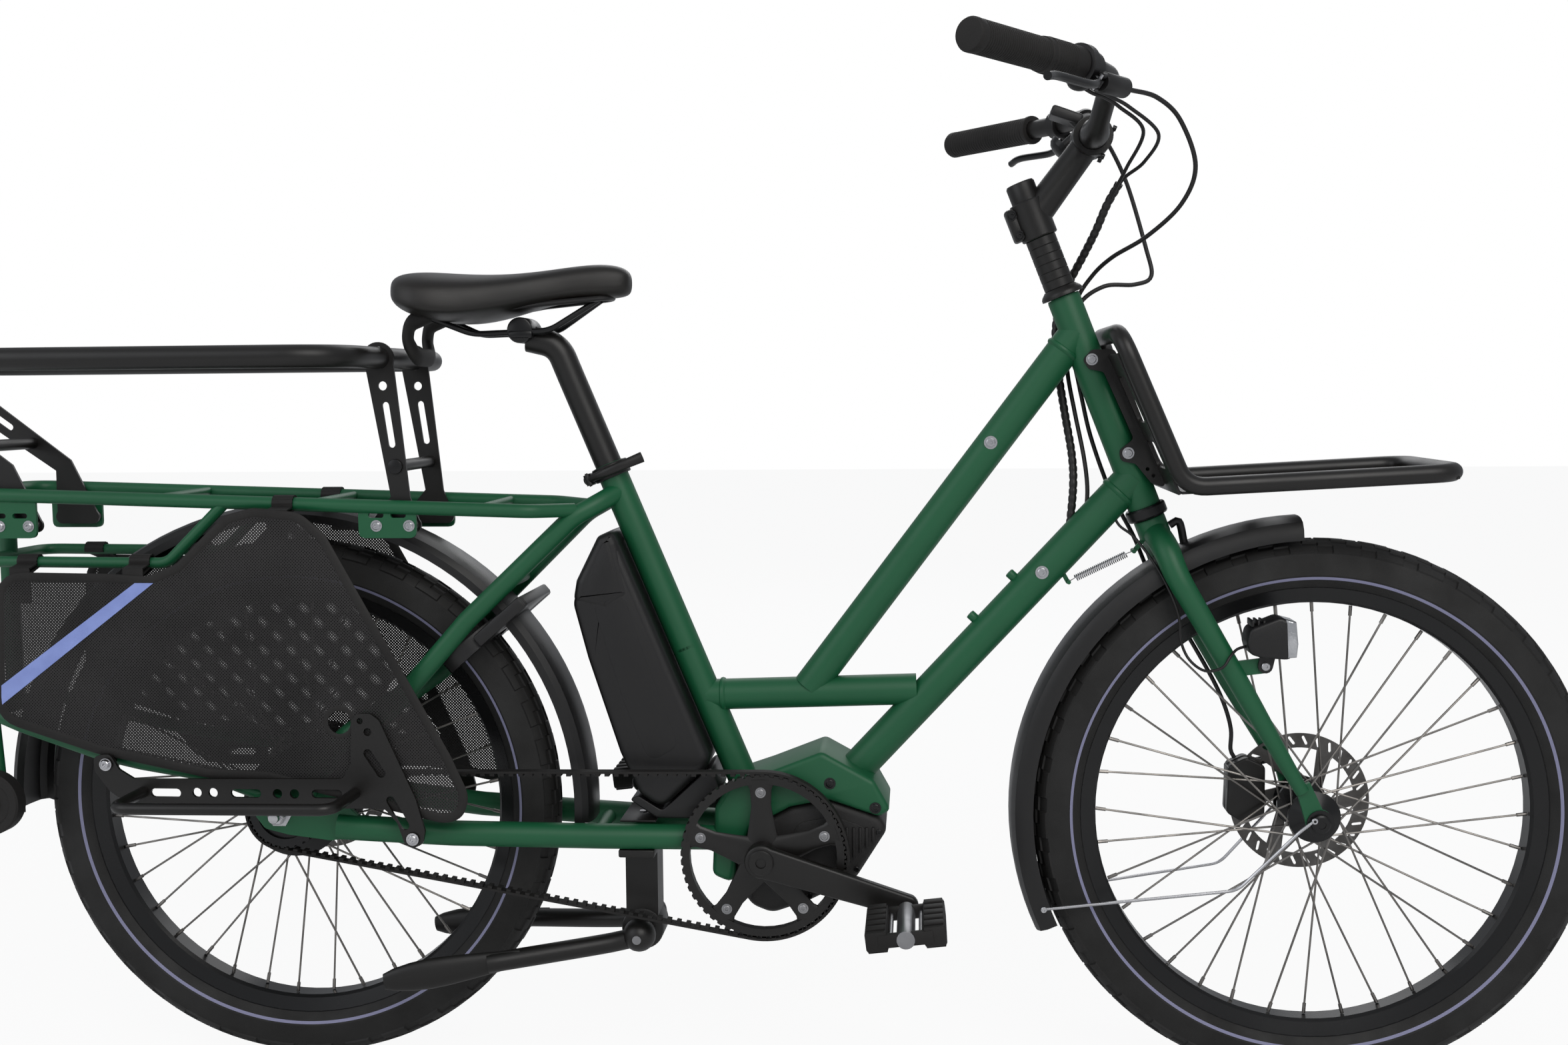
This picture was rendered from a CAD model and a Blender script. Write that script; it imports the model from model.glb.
"""Looks for an electric longtail cargo bike, laid out as a Blender add-on.

Shapes are written in bike coordinates: rear axle at X = 0, forwards is +X, the drive side is -Y.
"""

import math

import bmesh
import bpy
from bpy.props import FloatProperty, FloatVectorProperty, IntProperty, PointerProperty
from mathutils import Matrix, Vector


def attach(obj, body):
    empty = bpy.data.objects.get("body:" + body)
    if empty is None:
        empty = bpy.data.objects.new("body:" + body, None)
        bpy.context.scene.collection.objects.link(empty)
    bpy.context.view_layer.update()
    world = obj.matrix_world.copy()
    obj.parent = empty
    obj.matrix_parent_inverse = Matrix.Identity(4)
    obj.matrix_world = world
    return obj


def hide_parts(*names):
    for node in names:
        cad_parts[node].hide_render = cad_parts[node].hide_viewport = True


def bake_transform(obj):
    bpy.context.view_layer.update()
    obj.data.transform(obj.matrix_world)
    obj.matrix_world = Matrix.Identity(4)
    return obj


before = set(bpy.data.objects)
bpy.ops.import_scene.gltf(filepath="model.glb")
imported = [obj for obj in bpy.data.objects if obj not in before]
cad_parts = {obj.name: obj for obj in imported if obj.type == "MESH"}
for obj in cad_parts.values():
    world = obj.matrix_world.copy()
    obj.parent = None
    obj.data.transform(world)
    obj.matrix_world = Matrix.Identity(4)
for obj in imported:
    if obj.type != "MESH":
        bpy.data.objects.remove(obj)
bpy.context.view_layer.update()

bl_info = {
    "name": "Cargo Bike Dresser",
    "version": (1, 0, 0),
    "blender": (4, 5, 0),
    "location": "3D View > Sidebar > Cargo Bike",
    "description": "Builds the finished surfaces of a longtail cargo bike over its solids",
    "category": "Object",
}

CENTRE_SHIFT = -0.4895
LATERAL = Vector((0.0, 1.0, 0.0))
UP = Vector((0.0, 0.0, 1.0))
REAR_AXLE = Vector((0.0, 0.0, 0.313))
FRONT_AXLE = Vector((1.1815, 0.0, 0.313))
CRANK = Vector((0.5605, 0.0, 0.268))
HEAD_TOP = Vector((0.9005, 0.0, 0.9006))
STEER_UP = Vector((-0.36293, 0.0, 0.93182))
SEAT_TOP = Vector((0.377, 0.0, 0.714))
SEAT_UP = Vector((-0.3833, 0.0, 0.92362))
BAR_CLAMP = Vector((0.931, 0.0, 1.076))
BAR_SWEEP_START = Vector((0.918, 0.165, 1.119))
BAR_END = Vector((0.787, 0.333, 1.121))

HEAD_TUBE_LENGTH = 0.256
STEERER_BORE = 0.0146
SEAT_TUBE_LEAN = Vector((-0.415, 0.0, 1.0))
UPPER_TUBE = (Vector((0.9158, 0, 0.8596)), Vector((0.61, 0, 0.452)), 0.019)
DOWN_TUBE = (Vector((0.9805, 0, 0.6957)), Vector((0.665, 0, 0.356)), 0.02)
SPRING_PIN_RADIUS = 0.0025
RAIL_REAR = (-0.365, 0.6855)
RAIL_SLOPE = -0.0322
RAIL_Y = 0.075
LOWER_RAIL_Z = 0.607
TAB_BOLT_Z = 0.648
HOOP_Z = 0.838
HOOP_Y = 0.19
STRAP_Y = 0.064
PANEL_Y = 0.0999
PANEL_HOLE = (0.082, 0.426)
BELT_Y = -0.062
FRONT_BELT_RADIUS = 0.09626
REAR_BELT_RADIUS = 0.0455
MOTOR_WIDTH = 0.087
BATTERY_WIDTH = 0.088
STAND_PIVOT = (0.412, 0.165)
CRANK_LENGTH = 0.17
CRANK_TURN = math.radians(-16.4)
CRANK_ARM_Y = 0.084
SPOKE_COUNT = 36
ROTOR_RADIUS = 0.08
ROLLER_AXLE = (-0.35, 0.322)
BAR_RADIUS = 0.0111
BAR_MIDDLE_RADIUS = 0.0159
GRIP_BORE = 0.0114
LAMP_BOLT = (1.118, 0.49)
LAMP_Y = -0.058
HOSE_RADIUS = 0.0025
PHOTO_FOCAL = 2385.4913
PHOTO_WIDTH = 2352.0
SENSOR_WIDTH = 36.0


# Mesh helpers

def steer_point(distance):
    """Point on the steering axis, measured up from the head tube's lower end."""
    return HEAD_TOP + STEER_UP * (distance - HEAD_TUBE_LENGTH)


def seat_axis(z):
    """Point on the seat tube's axis at a height."""
    return SEAT_TOP + SEAT_TUBE_LEAN * (z - SEAT_TOP.z)


def rail_z(x):
    """Height of the cargo rack's upper rail."""
    return RAIL_REAR[1] + RAIL_SLOPE * (x - RAIL_REAR[0])


def heading_of(turn):
    """Unit vector in the XZ plane at an angle from +X."""
    return Vector((math.cos(turn), 0.0, math.sin(turn)))


def along_axis(origin, axis):
    """Matrix that takes local +Z to the axis and the local origin to origin."""
    return Matrix.Translation(origin) @ Vector(axis).to_track_quat("Z", "Y").to_matrix().to_4x4()


def basis(x_axis, y_axis, z_axis, origin):
    """Matrix whose columns are three axes and an origin."""
    return Matrix((*zip(x_axis, y_axis, z_axis, origin), (0.0, 0.0, 0.0, 1.0)))


def mirrored(points):
    """Points in reverse order on the other side of the bike."""
    return [(x, -y, z) for x, y, z in reversed(points)]


def eased(points, radius, steps=6, closed=False):
    """Path with its corners rounded off."""
    points = [Vector(point) for point in points]
    count = len(points)
    result = []
    for index, point in enumerate(points):
        if not closed and index in (0, count - 1):
            result.append(point)
            continue
        before = points[index - 1] - point
        after = points[(index + 1) % count] - point
        bend = math.pi - before.angle(after)
        reach = min(radius * math.tan(bend / 2), before.length * 0.48, after.length * 0.48)
        if reach < 1e-5:
            result.append(point)
            continue
        start = point + before.normalized() * reach
        end = point + after.normalized() * reach
        for step in range(steps + 1):
            t = step / steps
            result.append(start * (1 - t) ** 2 + point * 2 * t * (1 - t) + end * t ** 2)
    return result


def rounded(outline, radius, steps):
    """Closed XZ outline with its corners rounded off."""
    return [(p.x, p.z) for p in eased([(x, 0, z) for x, z in outline], radius, steps, True)]


def with_ends(points):
    """Points with one more at each end, in line with the two nearest."""
    points = [Vector(point) for point in points]
    return [points[0] * 2 - points[1], *points, points[-1] * 2 - points[-2]]


def spline(p0, p1, p2, p3, t):
    """Catmull-Rom point between p1 and p2."""
    return 0.5 * (2 * p1 + (p2 - p0) * t + (2 * p0 - 5 * p1 + 4 * p2 - p3) * t ** 2
                  + (3 * p1 - p0 - 3 * p2 + p3) * t ** 3)


def flowing(points, spacing=0.012):
    """Smooth curve through the given points."""
    ends = with_ends(points)
    result = [ends[1]]
    for index in range(1, len(ends) - 2):
        steps = max(1, round((ends[index + 1] - ends[index]).length / spacing))
        result += [spline(*ends[index - 1:index + 3], step / steps) for step in range(1, steps + 1)]
    return result


def ring_arc(centre, radius, start, stop, steps):
    """Arc points in the XZ plane, in degrees."""
    turns = (math.radians(start + (stop - start) * step / steps) for step in range(steps + 1))
    return [(centre[0] + radius * math.cos(turn), centre[1] + radius * math.sin(turn)) for turn in turns]


def ring(centre, radius, steps=24):
    """Closed circle of points in the XZ plane."""
    return ring_arc(centre, radius, 0, 360 - 360 / steps, steps - 1)


def slot_ring(start, end, radius, steps=6):
    """Outline of a slot with round ends."""
    heading = math.degrees(math.atan2(end[1] - start[1], end[0] - start[0]))
    return (ring_arc(start, radius, heading + 90, heading + 270, steps)
            + ring_arc(end, radius, heading - 90, heading + 90, steps))


def sleeve(inner, outer, low, high, inset, rise):
    """Profile of a round sleeve with chamfered outer rims."""
    return [(inner, low), (outer - inset, low), (outer, low + rise), (outer, high - rise),
            (outer - inset, high), (inner, high)]


def circle_edges(bm, sides, radius, place):
    """New circle to extrude from, as its edges."""
    made = bmesh.ops.create_circle(bm, segments=sides, radius=radius, matrix=place)
    return list({edge for vert in made["verts"] for edge in vert.link_edges})


def extruded(bm, edges, change):
    """Extrude a ring of edges, move the new ring by a matrix and return its edges."""
    made = bmesh.ops.extrude_edge_only(bm, edges=edges)["geom"]
    verts = {item for item in made if isinstance(item, bmesh.types.BMVert)}
    bmesh.ops.transform(bm, matrix=change, verts=list(verts))
    return [item for item in made if isinstance(item, bmesh.types.BMEdge) and verts.issuperset(item.verts)]


def add_sweep(bm, path, radius, sides=16, radii=None, closed=False, flat=None):
    """Extrude a circle along a path; flat squeezes it along a direction by a factor."""
    path = [Vector(point) for point in path]
    count = len(path)
    squeeze = Matrix.Scale(flat[1], 4, Vector(flat[0])) if flat else Matrix.Identity(4)
    turn = None
    for index, point in enumerate(path):
        ahead = path[(index + 1) % count] if closed or index < count - 1 else point * 2 - path[index - 1]
        behind = path[index - 1] if closed or index else point * 2 - path[1]
        heading = ((ahead - point).normalized() + (point - behind).normalized()).normalized()
        if turn is None:
            turn = heading.to_track_quat("Z", "Y")
        else:
            turn = (turn @ UP).rotation_difference(heading) @ turn
        scale = Matrix.Scale(radii[index] if radii else 1.0, 4)
        place = Matrix.Translation(point) @ squeeze @ turn.to_matrix().to_4x4() @ scale
        if index == 0:
            edges = first = circle_edges(bm, sides, radius, place)
        else:
            edges = extruded(bm, edges, place @ previous.inverted())
        previous = place
    if closed:
        bmesh.ops.bridge_loops(bm, edges=first + edges)
    else:
        bmesh.ops.edgeloop_fill(bm, edges=first)
        bmesh.ops.edgeloop_fill(bm, edges=edges)


def add_rod(bm, start, end, radius, steps=20, end_radius=None, bevel=0.0):
    """Straight round bar with an optional rounded rim."""
    start = Vector(start)
    end = Vector(end)
    made = bmesh.ops.create_cone(
        bm, cap_ends=True, segments=steps, radius1=radius,
        radius2=radius if end_radius is None else end_radius,
        depth=(end - start).length, matrix=along_axis((start + end) / 2, end - start),
    )
    if bevel:
        rims = [edge for edge in {e for v in made["verts"] for e in v.link_edges}
                if any(len(face.verts) > 4 for face in edge.link_faces)]
        bmesh.ops.bevel(bm, geom=rims, offset=bevel, segments=2, profile=0.5, affect="EDGES", material=-1,
                        clamp_overlap=True)


def add_ball(bm, centre, radius, stretch=None):
    """Ball with an optional stretch along each axis."""
    made = bmesh.ops.create_uvsphere(bm, u_segments=20, v_segments=12, radius=radius,
                                     matrix=Matrix.Translation(centre))
    if stretch:
        bmesh.ops.scale(bm, vec=stretch, verts=made["verts"], space=Matrix.Translation(-Vector(centre)))


def add_box(bm, low, high, bevel=0.0, turn=None, segments=2):
    """Box between two corners with rounded edges."""
    low = Vector(low)
    high = Vector(high)
    made = bmesh.ops.create_cube(bm, size=1.0)
    verts = made["verts"]
    bmesh.ops.scale(bm, vec=high - low, verts=verts)
    if bevel:
        edges = list({edge for vert in verts for edge in vert.link_edges})
        made = bmesh.ops.bevel(bm, geom=edges, offset=bevel, segments=segments, profile=0.5, affect="EDGES",
                               material=-1)
        verts = list({vert for face in made["faces"] for vert in face.verts})
    if turn:
        bmesh.ops.rotate(bm, cent=(0, 0, 0), matrix=turn, verts=verts)
    bmesh.ops.translate(bm, vec=(low + high) / 2, verts=verts)


def add_block(bm, centre, half, bevel=0.0, turn=None, segments=2):
    """Box from its centre and half sizes."""
    add_box(bm, centre - half, centre + half, bevel, turn, segments)


def add_plate(bm, outline, y, thickness, holes=(), bevel=0.0, place=None):
    """Flat plate from an XZ outline with holes, centred on the plane at y."""
    edges = []
    verts = []
    for loop in (outline, *holes):
        ring_verts = [bm.verts.new((point[0], y - thickness / 2, point[1])) for point in loop]
        verts += ring_verts
        edges += [bm.edges.new((ring_verts[i - 1], ring_verts[i])) for i in range(len(ring_verts))]
    faces = [item for item in bmesh.ops.triangle_fill(bm, use_beauty=True, edges=edges)["geom"]
             if isinstance(item, bmesh.types.BMFace)]
    if not holes:
        faces = bmesh.ops.dissolve_faces(bm, faces=faces)["region"]
    made = bmesh.ops.extrude_face_region(bm, geom=faces)["geom"]
    lifted = [item for item in made if isinstance(item, bmesh.types.BMVert)]
    bmesh.ops.translate(bm, vec=(0, thickness, 0), verts=lifted)
    if bevel and not holes:
        rims = [edge for edge in {e for v in verts + lifted for e in v.link_edges}
                if abs(edge.verts[0].co.y - edge.verts[1].co.y) < 1e-6 and len(edge.link_faces) == 2
                and max(len(face.verts) for face in edge.link_faces) > 4]
        made = bmesh.ops.bevel(bm, geom=rims, offset=bevel, segments=3, profile=0.5, affect="EDGES",
                               material=-1)
        lifted += made["verts"]
    if place:
        moved = list({v for v in verts + lifted if v.is_valid})
        bmesh.ops.transform(bm, matrix=place, verts=moved)


def add_turned(bm, profile, origin, axis, steps=48):
    """Spin a closed profile of (radius, height) points about an axis."""
    place = along_axis(origin, axis)
    verts = [bm.verts.new(place @ Vector((radius, 0.0, height))) for radius, height in profile]
    edges = [bm.edges.new((verts[i - 1], verts[i])) for i in range(len(verts))]
    bmesh.ops.spin(bm, geom=verts + edges, cent=origin, axis=axis, angle=2 * math.pi, steps=steps,
                   use_merge=True)


def add_bolt(bm, at, axis, radius=0.0045, height=0.0035, washer=True):
    """Socket-head bolt with its washer, standing on a face."""
    at = Vector(at)
    axis = Vector(axis).normalized()
    if washer:
        add_rod(bm, at - axis * 0.0004, at + axis * 0.0008, radius * 1.45, 20)
    add_turned(bm, [(radius * 0.45, height * 0.45), (radius * 0.45, height), (radius * 0.82, height),
                    (radius, height * 0.8), (radius, 0.0), (0.0001, 0.0), (0.0001, height * 0.45)],
               at, axis, 18)


def add_bolt_pairs(bm, spots, y, radius, height=0.0035, washer=True):
    """Bolts at (x, z) spots on both sides of the bike."""
    for x, z in spots:
        for side in (1, -1):
            add_bolt(bm, (x, side * y, z), (0, side, 0), radius, height, washer)


def mirror_all(bm):
    """Add the mirror image of everything across the bike's middle plane."""
    bmesh.ops.mirror(bm, geom=bm.verts[:] + bm.edges[:] + bm.faces[:], axis="Y", merge_dist=-1.0)


def piece(bm, name, look, body, stands_for=(), smooth=32.0):
    """Turn a bmesh into a finished piece that rides on a body."""
    bmesh.ops.remove_doubles(bm, verts=bm.verts, dist=1e-6)
    bmesh.ops.recalc_face_normals(bm, faces=bm.faces)
    bmesh.ops.translate(bm, vec=(CENTRE_SHIFT, 0, 0), verts=bm.verts)
    mesh = bpy.data.meshes.new(name)
    bm.to_mesh(mesh)
    bm.free()
    mesh.shade_smooth()
    mesh.set_sharp_from_angle(angle=math.radians(smooth))
    mesh.materials.append(look)
    made = bpy.data.objects.new(name, mesh)
    bpy.context.scene.collection.objects.link(made)
    if body:
        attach(made, body)
    if stands_for:
        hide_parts(*stands_for)
    return made


# Shader groups and materials

def add_node(tree, kind, **values):
    """Node of a kind, with inputs set by name."""
    made = tree.nodes.new("ShaderNode" + kind)
    for name, value in values.items():
        made.inputs[name.replace("_", " ")].default_value = value
    return made


def add_math(tree, operation, *values, kind="Math"):
    """Math node whose inputs after the first are set."""
    made = tree.nodes.new("ShaderNode" + kind)
    made.operation = operation
    for index, value in enumerate(values, 1):
        made.inputs[index].default_value = value
    return made


def add_mix(tree, **values):
    """Colour mix node."""
    made = tree.nodes.new("ShaderNodeMix")
    made.data_type = "RGBA"
    for name, value in values.items():
        made.inputs[name].default_value = value
    return made


def wire(tree, *runs):
    """Link sockets given as (from node, output, to node, input)."""
    for start, out, end, into in runs:
        tree.links.new(start.outputs[out], end.inputs[into])


def start_group(name, inputs, outputs):
    """New shader group with its sockets, and the two nodes that hold them."""
    group = bpy.data.node_groups.new(name, "ShaderNodeTree")
    for label, kind, default in inputs:
        made = group.interface.new_socket(name=label, in_out="INPUT", socket_type="NodeSocket" + kind)
        if default is not None:
            made.default_value = default
    for label, kind in outputs:
        group.interface.new_socket(name=label, in_out="OUTPUT", socket_type="NodeSocket" + kind)
    return group, group.nodes.new("NodeGroupInput"), group.nodes.new("NodeGroupOutput")


def grain_group():
    """Fine bump of a moulded or painted surface."""
    name = "Surface Grain"
    if name in bpy.data.node_groups:
        return bpy.data.node_groups[name]
    group, entry, leave = start_group(
        name, (("Vector", "Vector", None), ("Scale", "Float", 900.0), ("Height", "Float", 0.1)),
        (("Normal", "Vector"),))
    noise = add_node(group, "TexNoise", Detail=3.0)
    bump = add_node(group, "Bump", Distance=0.001)
    wire(group, (entry, "Vector", noise, "Vector"), (entry, "Scale", noise, "Scale"),
         (entry, "Height", bump, "Strength"), (noise, "Fac", bump, "Height"),
         (bump, "Normal", leave, "Normal"))
    return group


def tone_group():
    """Slow drift of a colour between two close tones, with a mask for roughness."""
    name = "Tone Drift"
    if name in bpy.data.node_groups:
        return bpy.data.node_groups[name]
    group, entry, leave = start_group(
        name, (("Vector", "Vector", None), ("Scale", "Float", 9.0), ("Base", "Color", (0.5, 0.5, 0.5, 1.0)),
               ("Shade", "Color", (0.4, 0.4, 0.4, 1.0)), ("Rough Low", "Float", 0.4),
               ("Rough High", "Float", 0.5)),
        (("Color", "Color"), ("Roughness", "Float")))
    noise = add_node(group, "TexNoise", Detail=4.0)
    spread = add_node(group, "MapRange", From_Min=0.35, From_Max=0.65)
    rough = add_node(group, "MapRange")
    mix = add_mix(group)
    wire(group, (entry, "Vector", noise, "Vector"), (entry, "Scale", noise, "Scale"),
         (noise, "Fac", spread, "Value"), (spread, "Result", mix, "Factor"), (entry, "Base", mix, "A"),
         (entry, "Shade", mix, "B"), (spread, "Result", rough, "Value"),
         (entry, "Rough Low", rough, "To Min"), (entry, "Rough High", rough, "To Max"),
         (mix, "Result", leave, "Color"), (rough, "Result", leave, "Roughness"))
    return group


def look(name, colour, shade, rough, metallic=0.0, grain=(900.0, 0.1), tone_scale=9.0, coat=0.0):
    """Material whose colour, roughness and bump vary over the surface."""
    made = bpy.data.materials.get(name)
    if made:
        return made
    made = bpy.data.materials.new(name)
    made.use_nodes = True
    tree = made.node_tree
    shader = tree.nodes["Principled BSDF"]
    shader.inputs["Metallic"].default_value = metallic
    shader.inputs["Coat Weight"].default_value = coat
    shader.inputs["Coat Roughness"].default_value = 0.2
    place = add_node(tree, "TexCoord")
    tone = tree.nodes.new("ShaderNodeGroup")
    tone.node_tree = tone_group()
    surface = tree.nodes.new("ShaderNodeGroup")
    surface.node_tree = grain_group()
    for node, name, value in (
        (tone, "Scale", tone_scale), (tone, "Base", (*colour, 1.0)), (tone, "Shade", (*shade, 1.0)),
        (tone, "Rough Low", rough[0]), (tone, "Rough High", rough[1]),
        (surface, "Scale", grain[0]), (surface, "Height", grain[1]),
    ):
        node.inputs[name].default_value = value
    wire(tree, (place, "Object", tone, "Vector"), (place, "Object", surface, "Vector"),
         (tone, "Color", shader, "Base Color"), (tone, "Roughness", shader, "Roughness"),
         (surface, "Normal", shader, "Normal"))
    return made


def settings():
    """The add-on's settings."""
    return bpy.context.scene.cargo_bike


def green_paint():
    colour = settings().paint_colour
    return look("Green Satin Paint", colour, [c * 0.9 for c in colour], (0.42, 0.5), 0.0, (700.0, 0.04), 6.0)


def black_coat():
    return look("Black Satin Coat", (0.008, 0.007, 0.0062), (0.0055, 0.0048, 0.0042), (0.34, 0.44), 0.0,
                (1500.0, 0.08))


def black_gloss():
    return look("Black Anodised", (0.008, 0.008, 0.0085), (0.006, 0.006, 0.0065), (0.24, 0.32), 0.2,
                (1200.0, 0.03))


def black_plastic():
    return look("Black Moulded Plastic", (0.0085, 0.0078, 0.008), (0.006, 0.0055, 0.0058), (0.32, 0.44), 0.0,
                (2200.0, 0.18))


def motor_black():
    return look("Cast Motor Cover", (0.013, 0.012, 0.011), (0.009, 0.008, 0.008), (0.46, 0.58), 0.0,
                (1600.0, 0.35))


def soft_rubber():
    return look("Soft Black Rubber", (0.01, 0.0085, 0.0075), (0.0065, 0.0055, 0.005), (0.62, 0.76), 0.0,
                (1400.0, 0.25))


def cover_vinyl():
    return look("Saddle Cover", (0.01, 0.0082, 0.0065), (0.0065, 0.0053, 0.0042), (0.3, 0.38), 0.0,
                (2600.0, 0.25), 14.0)


def bright_steel():
    return look("Bright Steel", (0.62, 0.62, 0.64), (0.5, 0.5, 0.52), (0.22, 0.36), 1.0, (1800.0, 0.04), 30.0)


def brushed_alloy():
    return look("Brushed Alloy", (0.4, 0.4, 0.41), (0.3, 0.3, 0.31), (0.34, 0.46), 1.0, (900.0, 0.06), 24.0)


def spoke_steel():
    return look("Spoke Steel", (0.3, 0.28, 0.26), (0.22, 0.21, 0.2), (0.3, 0.42), 1.0, (1800.0, 0.04), 30.0)


def rotor_steel():
    return look("Rotor Steel", (0.16, 0.155, 0.15), (0.11, 0.105, 0.1), (0.36, 0.5), 1.0, (900.0, 0.06), 40.0)


def cable_jacket():
    return look("Cable Jacket", (0.01, 0.009, 0.009), (0.007, 0.006, 0.006), (0.38, 0.5), 0.0, (2400.0, 0.12))


def reflective_tape():
    return look("Reflective Tape", (0.28, 0.36, 0.76), (0.24, 0.31, 0.68), (0.35, 0.45), 0.0, (1300.0, 0.1),
                40.0)


def dark_screen():
    return look("Display Glass", (0.01, 0.011, 0.013), (0.008, 0.009, 0.01), (0.06, 0.1), 0.0, (500.0, 0.0),
                coat=1.0)


def lamp_lens():
    return look("Lamp Lens", (0.55, 0.56, 0.58), (0.42, 0.43, 0.45), (0.05, 0.12), 0.6, (300.0, 0.2), 60.0,
                coat=1.0)


def tyre_rubber(name, axle_x):
    """Black rubber with a thin pale stripe round the sidewall."""
    made = bpy.data.materials.get(name)
    if made:
        return made
    made = look(name, (0.01, 0.0095, 0.009), (0.007, 0.0065, 0.006), (0.58, 0.72), 0.0, (1300.0, 0.25), 20.0)
    tree = made.node_tree
    stripe_radius = 0.2705
    stripe_half_width = 0.0016
    place = next(node for node in tree.nodes if node.type == "TEX_COORD")
    tone = next(node for node in tree.nodes if node.type == "GROUP" and "Color" in node.outputs)
    centre = add_node(tree, "Mapping", Location=(-axle_x, 0.0, -REAR_AXLE.z))
    flat = add_math(tree, "MULTIPLY", (1.0, 0.0, 1.0), kind="VectorMath")
    length = add_math(tree, "LENGTH", kind="VectorMath")
    band = add_math(tree, "COMPARE", stripe_radius, stripe_half_width)
    mix = add_mix(tree, B=(0.26, 0.26, 0.4, 1.0))
    wire(tree, (place, "Object", centre, "Vector"), (centre, "Vector", flat, 0), (flat, "Vector", length, 0),
         (length, "Value", band, 0), (tone, "Color", mix, "A"), (band, "Value", mix, "Factor"),
         (mix, "Result", tree.nodes["Principled BSDF"], "Base Color"))
    return made


def mesh_cloth():
    """Open black mesh: a diagonal net whose holes let the light through."""
    name = "Open Mesh Cloth"
    made = bpy.data.materials.get(name)
    if made:
        return made
    made = look(name, (0.02, 0.018, 0.018), (0.012, 0.011, 0.011), (0.62, 0.78), 0.0, (900.0, 0.3))
    tree = made.node_tree
    threads_per_metre = 760.0
    thread_share = 0.54
    place = next(node for node in tree.nodes if node.type == "TEX_COORD")
    turned = add_node(tree, "Mapping", Rotation=(0.0, math.radians(45), 0.0), Scale=[threads_per_metre] * 3)
    parts = add_node(tree, "SeparateXYZ")
    least = add_math(tree, "MINIMUM")
    wire(tree, (place, "Object", turned, "Vector"), (turned, "Vector", parts, "Vector"))
    for index, axis in enumerate("XZ"):
        wave = add_math(tree, "PINGPONG", 1.0)
        wire(tree, (parts, axis, wave, 0), (wave, "Value", least, index))
    thread = add_math(tree, "LESS_THAN", thread_share)
    wire(tree, (least, "Value", thread, 0), (thread, "Value", tree.nodes["Principled BSDF"], "Alpha"))
    return made


# Places shared by several pieces

def ahead_points(points):
    """Points given from the front axle's X, in bike coordinates."""
    return [Vector((FRONT_AXLE.x + x, y, z)) for x, y, z in points]


def grip_axis(side):
    """Start of the bar's straight end, its direction and its length."""
    start = Vector((BAR_SWEEP_START.x, BAR_SWEEP_START.y * side, BAR_SWEEP_START.z))
    end = Vector((BAR_END.x, BAR_END.y * side, BAR_END.z))
    return start, (end - start).normalized(), (end - start).length


def control_axes(side):
    """Bar point, direction along the bar, and direction out to the lever."""
    start, along, _ = grip_axis(side)
    flat = Vector((along.y * side, -along.x * side, 0.0)).normalized()
    return start, along, (flat * 0.74 - UP * 0.67).normalized()


# Settings

class CargoBikeSettings(bpy.types.PropertyGroup):
    paint_colour: FloatVectorProperty(
        name="Paint", description="Colour of the frame and rack paint", subtype="COLOR", size=3,
        min=0.0, max=1.0, default=(0.006, 0.108, 0.04))
    tube_sides: IntProperty(
        name="Tube Sides", description="Sides of each round tube", min=12, max=64, default=28)
    tread_blocks: IntProperty(
        name="Tread Blocks", description="Tread blocks round one tyre", min=60, max=200, default=120)
    tyre_radius: FloatProperty(
        name="Tyre Radius", description="Outer radius of both tyres", subtype="DISTANCE", unit="LENGTH",
        default=0.313)
    belt_teeth: IntProperty(
        name="Belt Teeth", description="Teeth round the drive belt", min=60, max=200, default=141)
    floor_colour: FloatVectorProperty(
        name="Floor", description="Colour of the floor and backdrop", subtype="COLOR", size=3,
        min=0.0, max=1.0, default=(0.8, 0.8, 0.8))


def add_spring_eye(bm, root, tip, pin):
    """Small tab in the middle plane with the pin that a hook of the steering spring holds."""
    add_plate(bm, slot_ring(root, tip, SPRING_PIN_RADIUS, 6), 0.0, 0.003)
    add_rod(bm, (pin[0], -0.0073, pin[1]), (pin[0], 0.0073, pin[1]), SPRING_PIN_RADIUS, 14)


# Operators

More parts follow.
